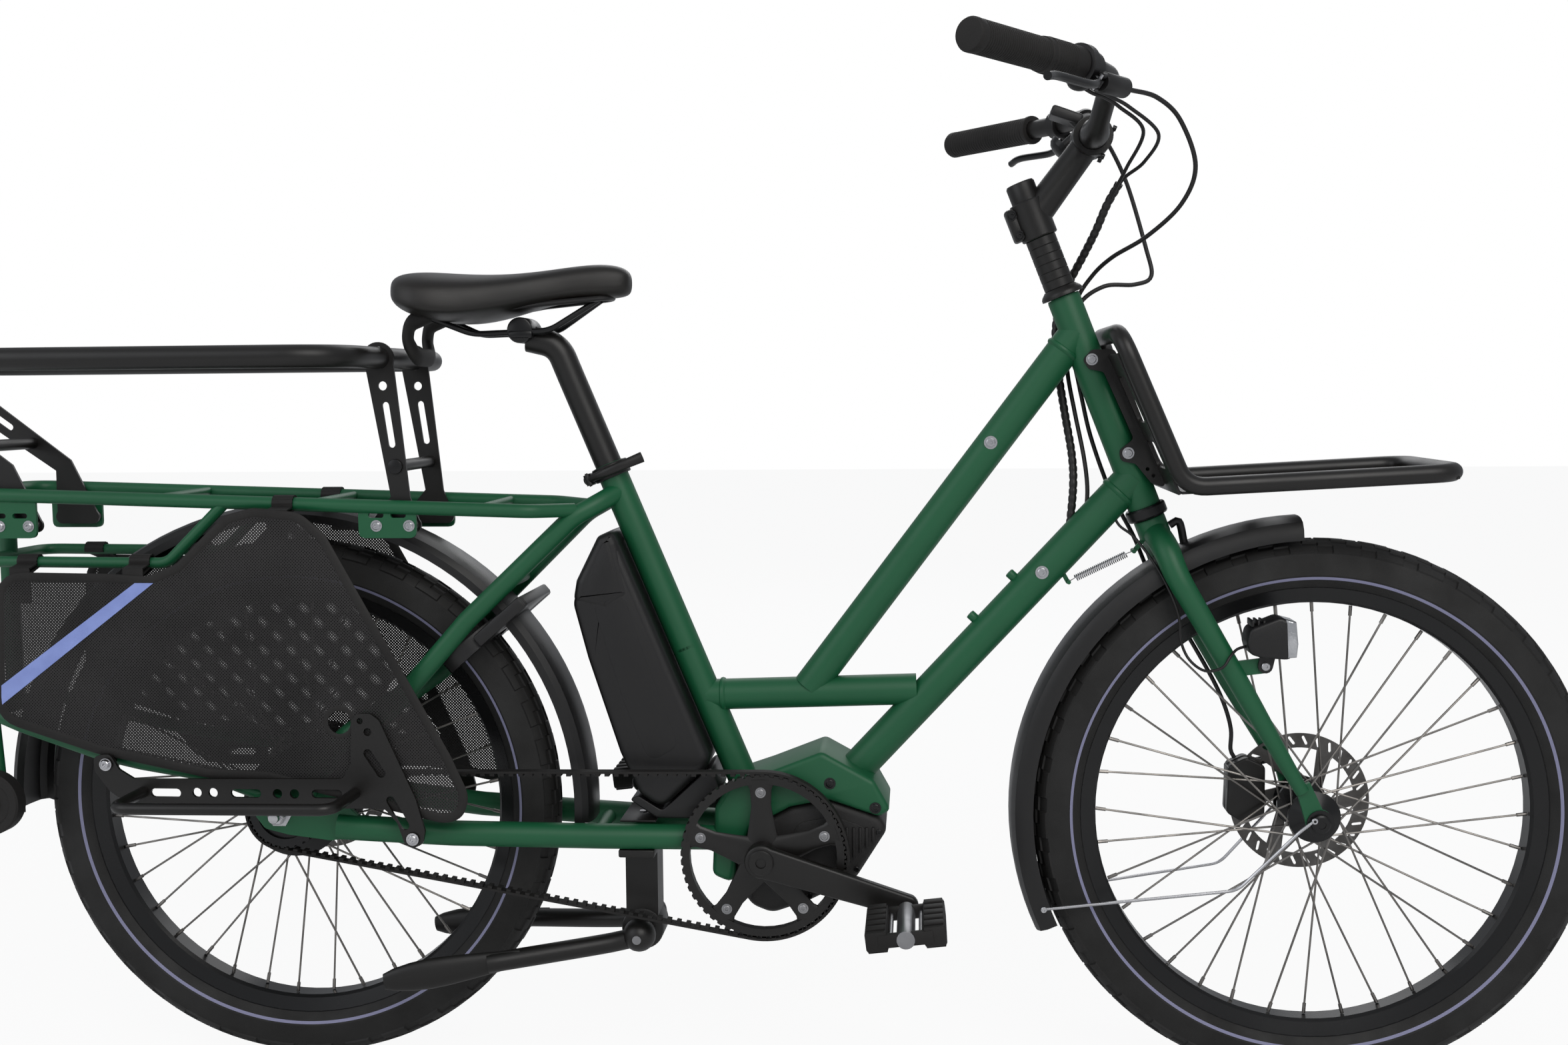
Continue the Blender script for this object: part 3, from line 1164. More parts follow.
class CARGO_BIKE_OT_drive(bpy.types.Operator):
    """Build the toothed belt, both pulleys, the cranks and the pedals"""
    bl_idname = "cargo_bike.drive"
    bl_label = "Belt Drive"

    def execute(self, context):
        self.belt()
        self.chainring()
        self.left_crank()
        self.pedal("right", -1)
        self.pedal("left", 1)
        self.rear_pulley()
        return {"FINISHED"}

    def belt(self):
        """Closed belt with its teeth, round both pulleys."""
        front, rear = FRONT_BELT_RADIUS, REAR_BELT_RADIUS
        spread = math.hypot(CRANK.x, REAR_AXLE.z - CRANK.z)
        tilt = math.degrees(math.atan2(CRANK.z - REAR_AXLE.z, CRANK.x))
        opening = math.degrees(math.acos((rear - front) / spread))

        def line(extra, fine):
            """The belt's closed line round both pulleys, moved outwards."""
            return (ring_arc((CRANK.x, CRANK.z), front + extra, tilt - opening, tilt + opening, 60 * fine)
                    + ring_arc((0.0, REAR_AXLE.z), rear + extra, tilt + opening, tilt + 360 - opening,
                               26 * fine))

        inner_face = -0.0004
        tooth_half = Vector((0.0026, 0.0056, 0.0016))
        bm = bmesh.new()
        add_plate(bm, line(0.0022, 1), BELT_Y, 0.0118, [line(inner_face, 1)])
        loop = [Vector((x, BELT_Y, z)) for x, z in line(inner_face, 2)]
        loop.append(loop[0])
        lengths = [(b - a).length for a, b in zip(loop, loop[1:])]
        step = sum(lengths) / settings().belt_teeth
        travelled = 0.0
        due = step / 2
        for a, b, length in zip(loop, loop[1:], lengths):
            while due <= travelled + length and length > 0:
                run = (b - a).normalized()
                centre = a.lerp(b, (due - travelled) / length) + Vector((-run.z, 0, run.x)) * 0.0014
                add_block(bm, centre, tooth_half, turn=Matrix.Rotation(-math.atan2(run.z, run.x), 3, "Y"))
                due += step
            travelled += length
        piece(bm, "toothed_belt", soft_rubber(), "frame", ("belt",))

    def sprocket(self, bm, centre, outer, inner, teeth):
        """Toothed ring whose teeth stop inside the belt line."""
        outline = []
        width = 360.0 / teeth
        for index in range(teeth):
            base = width * index
            outline += ring_arc((centre.x, centre.z), outer, base, base + width * 0.5, 1)
            outline += ring_arc((centre.x, centre.z), outer - 0.0022, base + width * 0.62,
                                base + width * 0.88, 1)
        add_plate(bm, outline, BELT_Y, 0.0112, [ring((centre.x, centre.z), inner, 48)])

    def arm(self, bm, angle, y, hub_radius):
        """Crank arm at an angle, with its boss."""
        end = CRANK + heading_of(angle) * CRANK_LENGTH
        heading = math.degrees(angle)
        outline = (ring_arc((CRANK.x, CRANK.z), 0.0195, heading + 70, heading + 290, 20)
                   + ring_arc((end.x, end.z), 0.0135, heading - 75, heading + 75, 14))
        inside = math.copysign(0.048, y)
        outside = math.copysign(0.082, y)
        add_rod(bm, CRANK + LATERAL * inside, CRANK + LATERAL * outside, hub_radius, 40, bevel=0.001)
        add_plate(bm, outline, y, 0.0125, bevel=0.0035)

    def chainring(self):
        """Front pulley on its five-armed spider, with the right crank arm."""
        spokes = [heading_of(CRANK_TURN + math.radians(36 + 72 * index)) for index in range(5)]
        bm = bmesh.new()
        self.sprocket(bm, CRANK, 0.0948, 0.0845, 55)
        for out in spokes:
            start = CRANK - LATERAL * 0.0655 + out * 0.014
            end = CRANK - LATERAL * 0.064 + out * 0.089
            add_sweep(bm, [start.lerp(end, t) for t in (0.0, 0.3, 0.6, 0.85, 1.0)], 0.012, 16,
                      radii=[1.6, 1.25, 0.95, 1.05, 1.55], flat=(LATERAL, 0.24))
        self.arm(bm, CRANK_TURN, -CRANK_ARM_Y, 0.019)
        piece(bm, "crank_right_arm", black_coat(), "crank", ("crank_right",))
        bm = bmesh.new()
        for out in spokes:
            add_bolt(bm, CRANK + out * 0.0745 - LATERAL * 0.067, -LATERAL, 0.0042, 0.0025)
        piece(bm, "chainring_bolts", brushed_alloy(), "crank")

    def left_crank(self):
        """Left crank arm with the spindle and its cap."""
        bm = bmesh.new()
        self.arm(bm, CRANK_TURN + math.pi, CRANK_ARM_Y, 0.018)
        add_rod(bm, CRANK - LATERAL * 0.0895, CRANK + LATERAL * 0.086, 0.012, 24)
        add_turned(bm, [(0.0001, 0.0008), (0.0055, 0.0008), (0.006, 0.0028), (0.0132, 0.0028),
                        (0.0145, 0.0016), (0.0145, 0.0002), (0.0001, 0.0002)],
                   CRANK - LATERAL * 0.0905, -LATERAL, 32)
        piece(bm, "crank_left_arm", black_coat(), "crank", ("crank_left",))

    def pedal(self, name, side):
        """Pedal with two grooved pads on a bare axle."""
        out = heading_of(CRANK_TURN + (0 if side < 0 else math.pi))
        centre = CRANK + out * CRANK_LENGTH + LATERAL * side * 0.15
        tilt = Matrix.Translation(centre) @ Matrix.Rotation(math.radians(-7), 4, "Y")
        bm = bmesh.new()
        for x in (-0.031, 0.031):
            add_block(bm, Vector((x, 0, 0)), Vector((0.012, 0.046, 0.011)), 0.003)
            for y in (-0.035, -0.0175, 0.0, 0.0175, 0.035):
                for z in (-0.0122, 0.0122):
                    add_block(bm, Vector((x, y, z)), Vector((0.0105, 0.0052, 0.0016)), 0.001)
        for y in (-0.043, 0.043):
            add_block(bm, Vector((0, y, 0)), Vector((0.03, 0.004, 0.0075)), 0.002)
        bmesh.ops.transform(bm, matrix=tilt, verts=bm.verts[:])
        piece(bm, "pedal_%s_cage" % name, soft_rubber(), "pedal_" + name, ("pedal_" + name,))
        bm = bmesh.new()
        for inside, outside, radius, steps, bevel in (
            (0.08, 0.108, 0.0048, 18, 0.0), (0.0945, 0.1, 0.0075, 6, 0.0), (0.1, 0.1985, 0.01, 28, 0.0012),
        ):
            add_rod(bm, (centre.x, side * inside, centre.z), (centre.x, side * outside, centre.z), radius,
                    steps, bevel=bevel)
        for x in (-0.0165, 0.0165):
            add_rod(bm, tilt @ Vector((x, -0.04, 0.0)), tilt @ Vector((x, 0.04, 0.0)), 0.0028, 12)
        piece(bm, "pedal_%s_axle" % name, brushed_alloy(), "pedal_" + name)

    def rear_pulley(self):
        """Rear pulley with its web."""
        bm = bmesh.new()
        self.sprocket(bm, REAR_AXLE, 0.044, 0.033, 26)
        add_turned(bm, [(0.0155, -0.002), (0.034, -0.002), (0.034, 0.002), (0.0155, 0.002)],
                   REAR_AXLE + LATERAL * BELT_Y, LATERAL, 48)
        piece(bm, "rear_pulley_teeth", black_gloss(), "rear_pulley", ("rear_pulley",))


class CARGO_BIKE_OT_motor(bpy.types.Operator):
    """Build the drive unit's cast cover"""
    bl_idname = "cargo_bike.motor"
    bl_label = "Drive Unit"

    def execute(self, context):
        outline = [(0.6929, 0.3096), (0.6344, 0.3286), (0.5904, 0.3196), (0.5454, 0.2946), (0.5274, 0.2596),
                   (0.5254, 0.2276), (0.545, 0.202), (0.568, 0.193), (0.61, 0.208), (0.665, 0.236),
                   (0.702, 0.295)]
        raised = [(0.578, 0.262), (0.58, 0.224), (0.62, 0.232), (0.668, 0.262), (0.684, 0.296), (0.64, 0.31),
                  (0.6, 0.302)]
        bm = bmesh.new()
        add_plate(bm, rounded(outline, 0.025, 6), 0.0, MOTOR_WIDTH, bevel=0.008)
        add_rod(bm, CRANK - LATERAL * 0.047, CRANK + LATERAL * 0.047, 0.025, 40, bevel=0.0015)
        for side in (-1, 1):
            add_plate(bm, rounded(raised, 0.018, 5), side * (MOTOR_WIDTH / 2 + 0.0001), 0.0022, bevel=0.0008)
            for index in range(6):
                x = 0.648 + 0.0075 * index
                add_box(bm, (x - 0.0016, side * 0.045 - 0.0022, 0.25 + 0.006 * index),
                        (x + 0.0016, side * 0.045 + 0.0022, 0.298), 0.001)
        piece(bm, "motor_cover", motor_black(), "frame", ("drive_unit",))
        bm = bmesh.new()
        spots = [(0.542, 0.216), (0.612, 0.216), (0.666, 0.248), (0.692, 0.292), (0.538, 0.256)]
        add_bolt_pairs(bm, spots, 0.043, 0.0034, 0.0022, False)
        piece(bm, "motor_screws", black_gloss(), "frame")
        bm = bmesh.new()
        add_bolt_pairs(bm, [(0.6361, 0.3491), (0.6879, 0.3211)], 0.047, 0.0046, 0.0024)
        piece(bm, "motor_mount_bolts", black_gloss(), "frame")
        return {"FINISHED"}


class CARGO_BIKE_OT_battery(bpy.types.Operator):
    """Build the battery behind the seat tube and its dock"""
    bl_idname = "cargo_bike.battery"
    bl_label = "Battery"

    def execute(self, context):
        top_edge = seat_axis(0.625).x - 0.0193
        low_edge = seat_axis(0.37).x - 0.0193
        outline = [(0.388, 0.638), (0.372, 0.632), (0.346, 0.581), (0.34, 0.553), (0.356, 0.491),
                   (0.392, 0.38), (0.414, 0.332), (0.44, 0.314), (low_edge, 0.37), (top_edge, 0.625)]
        raised = [(0.364, 0.556), (0.399, 0.44), (0.428, 0.37), (0.462, 0.39), (0.425, 0.49),
                  (0.4, 0.568)]
        cap = [(0.388, 0.6388), (0.3705, 0.6325), (0.3445, 0.581), (0.34, 0.556), (0.38, 0.545),
               (0.409, 0.564), (top_edge, 0.6258)]
        bm = bmesh.new()
        add_plate(bm, rounded(outline, 0.02, 6), 0.0, BATTERY_WIDTH, bevel=0.01)
        for side in (-1, 1):
            add_plate(bm, rounded(raised, 0.014, 5), side * (BATTERY_WIDTH / 2 - 0.0004), 0.0012,
                      bevel=0.0004)
        add_rod(bm, (0.379, -0.044, 0.606), (0.379, -0.0452, 0.606), 0.0085, 28, bevel=0.0004)
        add_plate(bm, rounded(cap, 0.01, 5), 0.0, BATTERY_WIDTH + 0.0025, bevel=0.01)
        piece(bm, "battery_case", black_plastic(), "battery", ("battery",))
        bm = bmesh.new()
        dock = [(0.401, 0.324), (0.433, 0.3025), (0.474, 0.3025), (0.504, 0.322), (0.508, 0.336),
                (0.4985, 0.366), (0.44, 0.3115), (0.412, 0.329)]
        add_plate(bm, rounded(dock, 0.006, 4), 0.0, 0.07, bevel=0.002)
        piece(bm, "battery_cradle", black_plastic(), "frame", ("battery_dock",))
        return {"FINISHED"}


class CARGO_BIKE_OT_fork(bpy.types.Operator):
    """Build the fork, its dropouts, the front caliper and the headlamp"""
    bl_idname = "cargo_bike.fork"
    bl_label = "Fork and Lamp"

    def execute(self, context):
        bm = bmesh.new()
        add_rod(bm, steer_point(-0.02), steer_point(0.374), 0.0143, 28)
        add_rod(bm, steer_point(-0.0133), steer_point(-0.036), 0.018, 32, bevel=0.002)
        taper = (1.2, 1.2, 1.08, 1.0, 0.9, 0.74, 0.6)
        crown = steer_point(-0.031)
        for side in (-1, 1):
            y = side * 0.056
            route = [crown + Vector((0.001, side * 0.004, 0)), Vector((1.012, side * 0.037, 0.618)),
                     Vector((1.024, side * 0.0505, 0.587)), Vector((1.0445, side * 0.053, 0.5507)),
                     Vector((1.1, y, 0.4542)), Vector((1.133, y, 0.3968)), Vector((1.1615, y, 0.348))]
            ends = with_ends(route)
            smooth = []
            radii = []
            for index in range(len(route) - 1):
                for t in (0.0, 0.2, 0.4, 0.6, 0.8):
                    smooth.append(spline(*ends[index:index + 4], t))
                    radii.append(taper[index] * (1 - t) + taper[index + 1] * t)
            add_sweep(bm, [*smooth, route[-1]], 0.0125, 24, radii=[*radii, taper[-1]])
            outline = ring_arc((FRONT_AXLE.x, FRONT_AXLE.z), 0.015, -170, 80, 16)
            add_plate(bm, [*outline, (1.1695, 0.359), (1.1545, 0.353)], side * 0.0535, 0.007)
        add_plate(bm, slot_ring((1.086, 0.486), LAMP_BOLT, 0.0085, 8), -0.056, 0.004)
        add_spring_eye(bm, (1.0, 0.634), (0.9826, 0.6118), (0.9815, 0.6117))
        piece(bm, "fork_blades", green_paint(), "steering", ("fork",))
        bm = bmesh.new()
        add_bolt(bm, (LAMP_BOLT[0], -0.0618, LAMP_BOLT[1]), (0, -1, 0), 0.0046, 0.003, False)
        piece(bm, "fork_bolts", bright_steel(), "steering")
        bm = bmesh.new()
        add_rod(bm, FRONT_AXLE - LATERAL * 0.063, FRONT_AXLE + LATERAL * 0.063, 0.006, 20)
        add_bolt_pairs(bm, [(FRONT_AXLE.x, FRONT_AXLE.z)], 0.058, 0.0105, 0.006)
        piece(bm, "front_axle", black_gloss(), "steering")
        self.lamp()
        return {"FINISHED"}

    def lamp(self):
        """Headlamp with its foot, cooling fins and lens."""
        outline = [(1.0985, 0.505), (1.112, 0.501), (1.144, 0.499), (1.146, 0.516), (1.142, 0.542),
                   (1.13, 0.546), (1.098, 0.533), (1.095, 0.518)]
        bm = bmesh.new()
        add_plate(bm, rounded(outline, 0.01, 5), LAMP_Y, 0.0365, bevel=0.0035)
        add_plate(bm, slot_ring(LAMP_BOLT, (1.122, 0.508), 0.008, 8), -0.0603, 0.004)
        for x in (1.102, 1.108, 1.114):
            add_box(bm, (x - 0.0012, -0.072, 0.535), (x + 0.0012, -0.044, 0.542), 0.0005)
        piece(bm, "lamp_housing", black_plastic(), "headlamp", ("headlamp",))
        bm = bmesh.new()
        lens = [(1.138, 0.501), (1.1485, 0.502), (1.15, 0.517), (1.1475, 0.541), (1.136, 0.544)]
        add_plate(bm, lens, LAMP_Y, 0.0372, bevel=0.0025)
        piece(bm, "lamp_lens", lamp_lens(), "headlamp")


class CARGO_BIKE_OT_brakes(bpy.types.Operator):
    """Build both brake calipers"""
    bl_idname = "cargo_bike.brakes"
    bl_label = "Calipers"

    def execute(self, context):
        outline = [(1.096, 0.3), (1.112, 0.29), (1.14, 0.296), (1.14, 0.356), (1.118, 0.366),
                   (1.098, 0.356)]
        bm = bmesh.new()
        for y, thickness in ((0.037, 0.012), (0.053, 0.0138)):
            add_plate(bm, rounded(outline, 0.008, 4), y, thickness, bevel=0.0025)
        add_box(bm, (1.097, 0.032, 0.304), (1.103, 0.059, 0.354), 0.002)
        add_rod(bm, (1.126, 0.054, 0.354), (1.154, 0.055, 0.362), 0.005, 16)
        piece(bm, "front_caliper_body", black_coat(), "steering", ("front_caliper",))
        bm = bmesh.new()
        turn = Matrix.Rotation(math.radians(-38), 3, "Y")
        for y, half in ((0.0575, 0.0045), (0.0698, 0.0038)):
            add_block(bm, Vector((0.054, y, 0.362)), Vector((0.014, half, 0.025)), 0.003, turn)
        add_box(bm, (0.064, 0.054, 0.36), (0.076, 0.0735, 0.372), 0.002, turn)
        piece(bm, "rear_caliper_body", black_coat(), "frame", ("rear_caliper",))
        bm = bmesh.new()
        for x, z in ((1.106, 0.308), (1.106, 0.35)):
            add_bolt(bm, (x, 0.0599, z), (0, 1, 0), 0.0034, 0.0022, False)
        piece(bm, "front_caliper_bolts", bright_steel(), "steering")
        return {"FINISHED"}


class CARGO_BIKE_OT_stem(bpy.types.Operator):
    """Build the headset cap, spacers, stem and handlebar"""
    bl_idname = "cargo_bike.stem"
    bl_label = "Stem and Bar"

    def execute(self, context):
        bm = bmesh.new()
        base = 0.2563
        add_turned(bm, [(STEERER_BORE, 0.0), (0.0238, 0.0), (0.0238, 0.003), (0.0225, 0.0055), (0.018, 0.01),
                        (0.0172, 0.01), (STEERER_BORE, 0.01)], steer_point(base), STEER_UP, 40)
        for index in range(6):
            add_turned(bm, sleeve(STEERER_BORE, 0.0172, 0.0, 0.0098, 0.0004, 0.0006),
                       steer_point(base + 0.0102 + index * 0.01), STEER_UP, 36)
        add_turned(bm, sleeve(STEERER_BORE, 0.0205, 0.0, 0.0432, 0.001, 0.0012), steer_point(base + 0.0705),
                   STEER_UP, 40)
        add_turned(bm, [(0.0001, 0.0), (0.0165, 0.0), (0.0165, 0.019), (0.015, 0.0215), (0.0001, 0.0215)],
                   steer_point(base + 0.114), STEER_UP, 36)
        start = steer_point(base + 0.094)
        add_sweep(bm, [start, start.lerp(BAR_CLAMP, 0.5), BAR_CLAMP], 0.018, 28, radii=[1.0, 0.93, 0.88])
        add_turned(bm, sleeve(0.0162, 0.0222, -0.021, 0.021, 0.001, 0.0015), BAR_CLAMP, LATERAL, 36)
        back = Vector((-STEER_UP.z, 0, STEER_UP.x))
        pinch = steer_point(base + 0.0925) + back * 0.0215
        add_box(bm, pinch - Vector((0.007, 0.011, 0.019)), pinch + Vector((0.005, 0.011, 0.019)), 0.003,
                Matrix.Rotation(math.radians(-21.3), 3, "Y"))
        piece(bm, "stem_body", black_coat(), "steering", ("stem",))
        bm = bmesh.new()
        for height in (-0.012, 0.012):
            add_bolt(bm, pinch + STEER_UP * height - LATERAL * 0.011, -LATERAL, 0.004, 0.003)
        ahead = Vector((0.92, 0, -0.39)).normalized()
        for y in (-0.013, 0.013):
            for lift in (-0.0165, 0.0165):
                spot = BAR_CLAMP + ahead * 0.0165 + Vector((0.39, 0, 0.92)) * lift + LATERAL * y
                add_bolt(bm, spot, ahead, 0.0033, 0.0045, False)
        piece(bm, "stem_bolts", black_gloss(), "steering")
        self.bar()
        return {"FINISHED"}

    def bar(self):
        """Handlebar, thick in the clamp and thinner towards the grips."""
        half = [BAR_CLAMP, BAR_CLAMP + LATERAL * 0.056, (0.937, 0.098, 1.108), (0.9355, 0.13, 1.118),
                BAR_SWEEP_START, BAR_END]
        path = eased(half, 0.045, 8)
        thin = BAR_RADIUS / BAR_MIDDLE_RADIUS
        thick = [1.0 + (thin - 1.0) * min(max((p.y - 0.04) / 0.026, 0.0), 1.0) for p in path]
        bm = bmesh.new()
        add_sweep(bm, mirrored(path[1:]) + path, BAR_MIDDLE_RADIUS, 24, radii=thick[:0:-1] + thick)
        piece(bm, "bar_tube", black_coat(), "steering", ("handlebar",))


class CARGO_BIKE_OT_controls(bpy.types.Operator):
    """Build the grips, shifter, brake levers, bell and display"""
    bl_idname = "cargo_bike.controls"
    bl_label = "Controls"

    def execute(self, context):
        for name, side, low in (("right", -1, 0.095), ("left", 1, 0.06)):
            self.grip(name, side, low)
            self.brake(name, side)
        self.shifter()
        self.bell()
        self.display()
        return {"FINISHED"}

    def grip(self, name, side, low):
        """Ribbed grip with a closed end."""
        start, along, length = grip_axis(side)
        profile = [(GRIP_BORE, low), (0.0172, low), (0.0176, low + 0.002), (0.0172, low + 0.006)]
        ribs = 30
        pitch = (length - low - 0.012) / ribs
        for index in range(ribs):
            at = low + 0.007 + pitch * index
            profile += [(0.0157, at), (0.0157, at + pitch * 0.3), (0.0163, at + pitch * 0.45),
                        (0.0163, at + pitch * 0.9)]
        profile += [(0.0165, length - 0.004), (0.0165, length + 0.002), (0.015, length + 0.005),
                    (0.008, length + 0.0052), (0.0001, length + 0.0052), (0.0001, length + 0.0005),
                    (GRIP_BORE, length + 0.0005)]
        bm = bmesh.new()
        add_turned(bm, profile, start, along, 32)
        piece(bm, "grip_%s_rubber" % name, soft_rubber(), "steering", ("grip_" + name,))

    def shifter(self):
        """Twist grip beside its housing."""
        start, along, _ = grip_axis(-1)
        profile = [(GRIP_BORE, 0.0367), (0.0165, 0.0367), (0.0178, 0.038), (0.0178, 0.056), (0.017, 0.057)]
        for index in range(9):
            at = 0.058 + index * 0.004
            profile += [(0.0168, at), (0.018, at + 0.001), (0.018, at + 0.003), (0.0168, at + 0.0038)]
        profile += [(0.0165, 0.0944), (GRIP_BORE, 0.0944)]
        bm = bmesh.new()
        add_turned(bm, profile, start, along, 40)
        piece(bm, "shifter_twist_grip", soft_rubber(), "twist_shifter", ("twist_shifter",))
        bm = bmesh.new()
        add_turned(bm, [(GRIP_BORE, 0.0236), (0.0185, 0.0236), (0.0212, 0.025), (0.0212, 0.0345),
                        (0.019, 0.0358), (GRIP_BORE, 0.0358)], start, along, 40)
        add_ball(bm, start + along * 0.03 - UP * 0.0165, 0.012, (1.1, 1.0, 0.75))
        piece(bm, "shifter_housing", black_plastic(), "steering")

    def brake(self, name, side):
        """Brake perch with its clamp and reservoir, the pin and the lever blade."""
        start, along, reach = control_axes(side)
        normal = along.cross(reach).normalized()
        clamp = start + along * 0.015
        low = start - along * 0.022 + reach * 0.027
        high = start + along * 0.0235 + reach * 0.027
        pivot = start + along * 0.032 + reach * 0.029
        bm = bmesh.new()
        add_turned(bm, sleeve(GRIP_BORE, 0.0165, 0.008, 0.022, 0.001, 0.001), start, along, 28)
        add_sweep(bm, [clamp + reach * 0.014, clamp + reach * 0.027], 0.0065, 16)
        add_sweep(bm, [low.lerp(high, t) for t in (0.0, 0.06, 0.5, 0.94, 1.0)], 0.0105, 24,
                  radii=[0.8, 1.0, 1.0, 1.0, 0.85])
        for out in (normal * -0.007, normal * 0.007):
            add_sweep(bm, [high - along * 0.006 + out, pivot + out], 0.003, 12)
        piece(bm, "brake_perch_" + name, black_plastic(), "steering", ("brake_body_" + name,))
        bm = bmesh.new()
        add_rod(bm, pivot - normal * 0.0085, pivot + normal * 0.0085, 0.0022, 14)
        piece(bm, "brake_pin_" + name, bright_steel(), "steering")
        path = [pivot + along * x + reach * y
                for x, y in ((-0.0005, 0.0), (0.006, 0.004), (0.03, 0.011), (0.085, 0.011), (0.108, 0.017))]
        bm = bmesh.new()
        add_sweep(bm, flowing(path, 0.006), 0.0044, 16)
        add_rod(bm, pivot - normal * 0.0038, pivot + normal * 0.0038, 0.0055, 20)
        piece(bm, "brake_blade_" + name, black_gloss(), "brake_lever_" + name, ("brake_lever_" + name,))

    def bell(self):
        """Bell on its clamp, with the striker."""
        centre = Vector((0.906, 0.1145, 1.08))
        bar_point = Vector((0.93625, 0.114, 1.113))
        bar_along = Vector((-0.0015, 0.032, 0.01))
        axis = Vector((-0.75, 0.0, -0.66)).normalized()
        bm = bmesh.new()
        add_turned(bm, [(0.0113, -0.005), (0.014, -0.005), (0.014, 0.005), (0.0113, 0.005)], bar_point,
                   bar_along, 28)
        add_rod(bm, centre - axis * 0.03, centre - axis * 0.003, 0.0058, 18)
        piece(bm, "bell_clamp", black_plastic(), "steering", ("bell",))
        bm = bmesh.new()
        add_turned(bm, [(0.0001, 0.007), (0.006, 0.0066), (0.0115, 0.0048), (0.0155, 0.001), (0.017, -0.005),
                        (0.016, -0.005), (0.014, 0.0), (0.0001, 0.003)], centre, axis, 40)
        piece(bm, "bell_dome", black_gloss(), "steering")
        pivot = centre - axis * 0.014 + LATERAL * 0.0093
        bm = bmesh.new()
        route = [pivot, pivot + LATERAL * 0.011, pivot + LATERAL * 0.018 + axis * 0.008]
        add_sweep(bm, flowing(route, 0.003), 0.0022, 14)
        add_rod(bm, pivot - axis * 0.003, pivot + axis * 0.003, 0.003, 16)
        piece(bm, "bell_striker", black_gloss(), "bell_lever", ("bell_lever",))

    def display(self):
        """Display on its own clamp."""
        centre = Vector((0.906, 0.042, 1.1065))
        turn = Matrix.Rotation(math.radians(20), 3, "Y")
        bm = bmesh.new()
        add_block(bm, centre, Vector((0.0185, 0.0195, 0.006)), 0.003, turn, 3)
        add_turned(bm, [(0.0162, -0.005), (0.0195, -0.005), (0.0195, 0.005), (0.0162, 0.005)],
                   BAR_CLAMP + LATERAL * 0.031, LATERAL, 32)
        add_rod(bm, (0.922, 0.031, 1.0915), (0.91, 0.031, 1.1035), 0.0045, 16)
        piece(bm, "display_case", black_plastic(), "steering", ("display",))
        bm = bmesh.new()
        add_block(bm, centre + turn @ Vector((0, 0, 0.006)), Vector((0.015, 0.0158, 0.0004)), 0.0003, turn)
        piece(bm, "display_glass", dark_screen(), "steering")


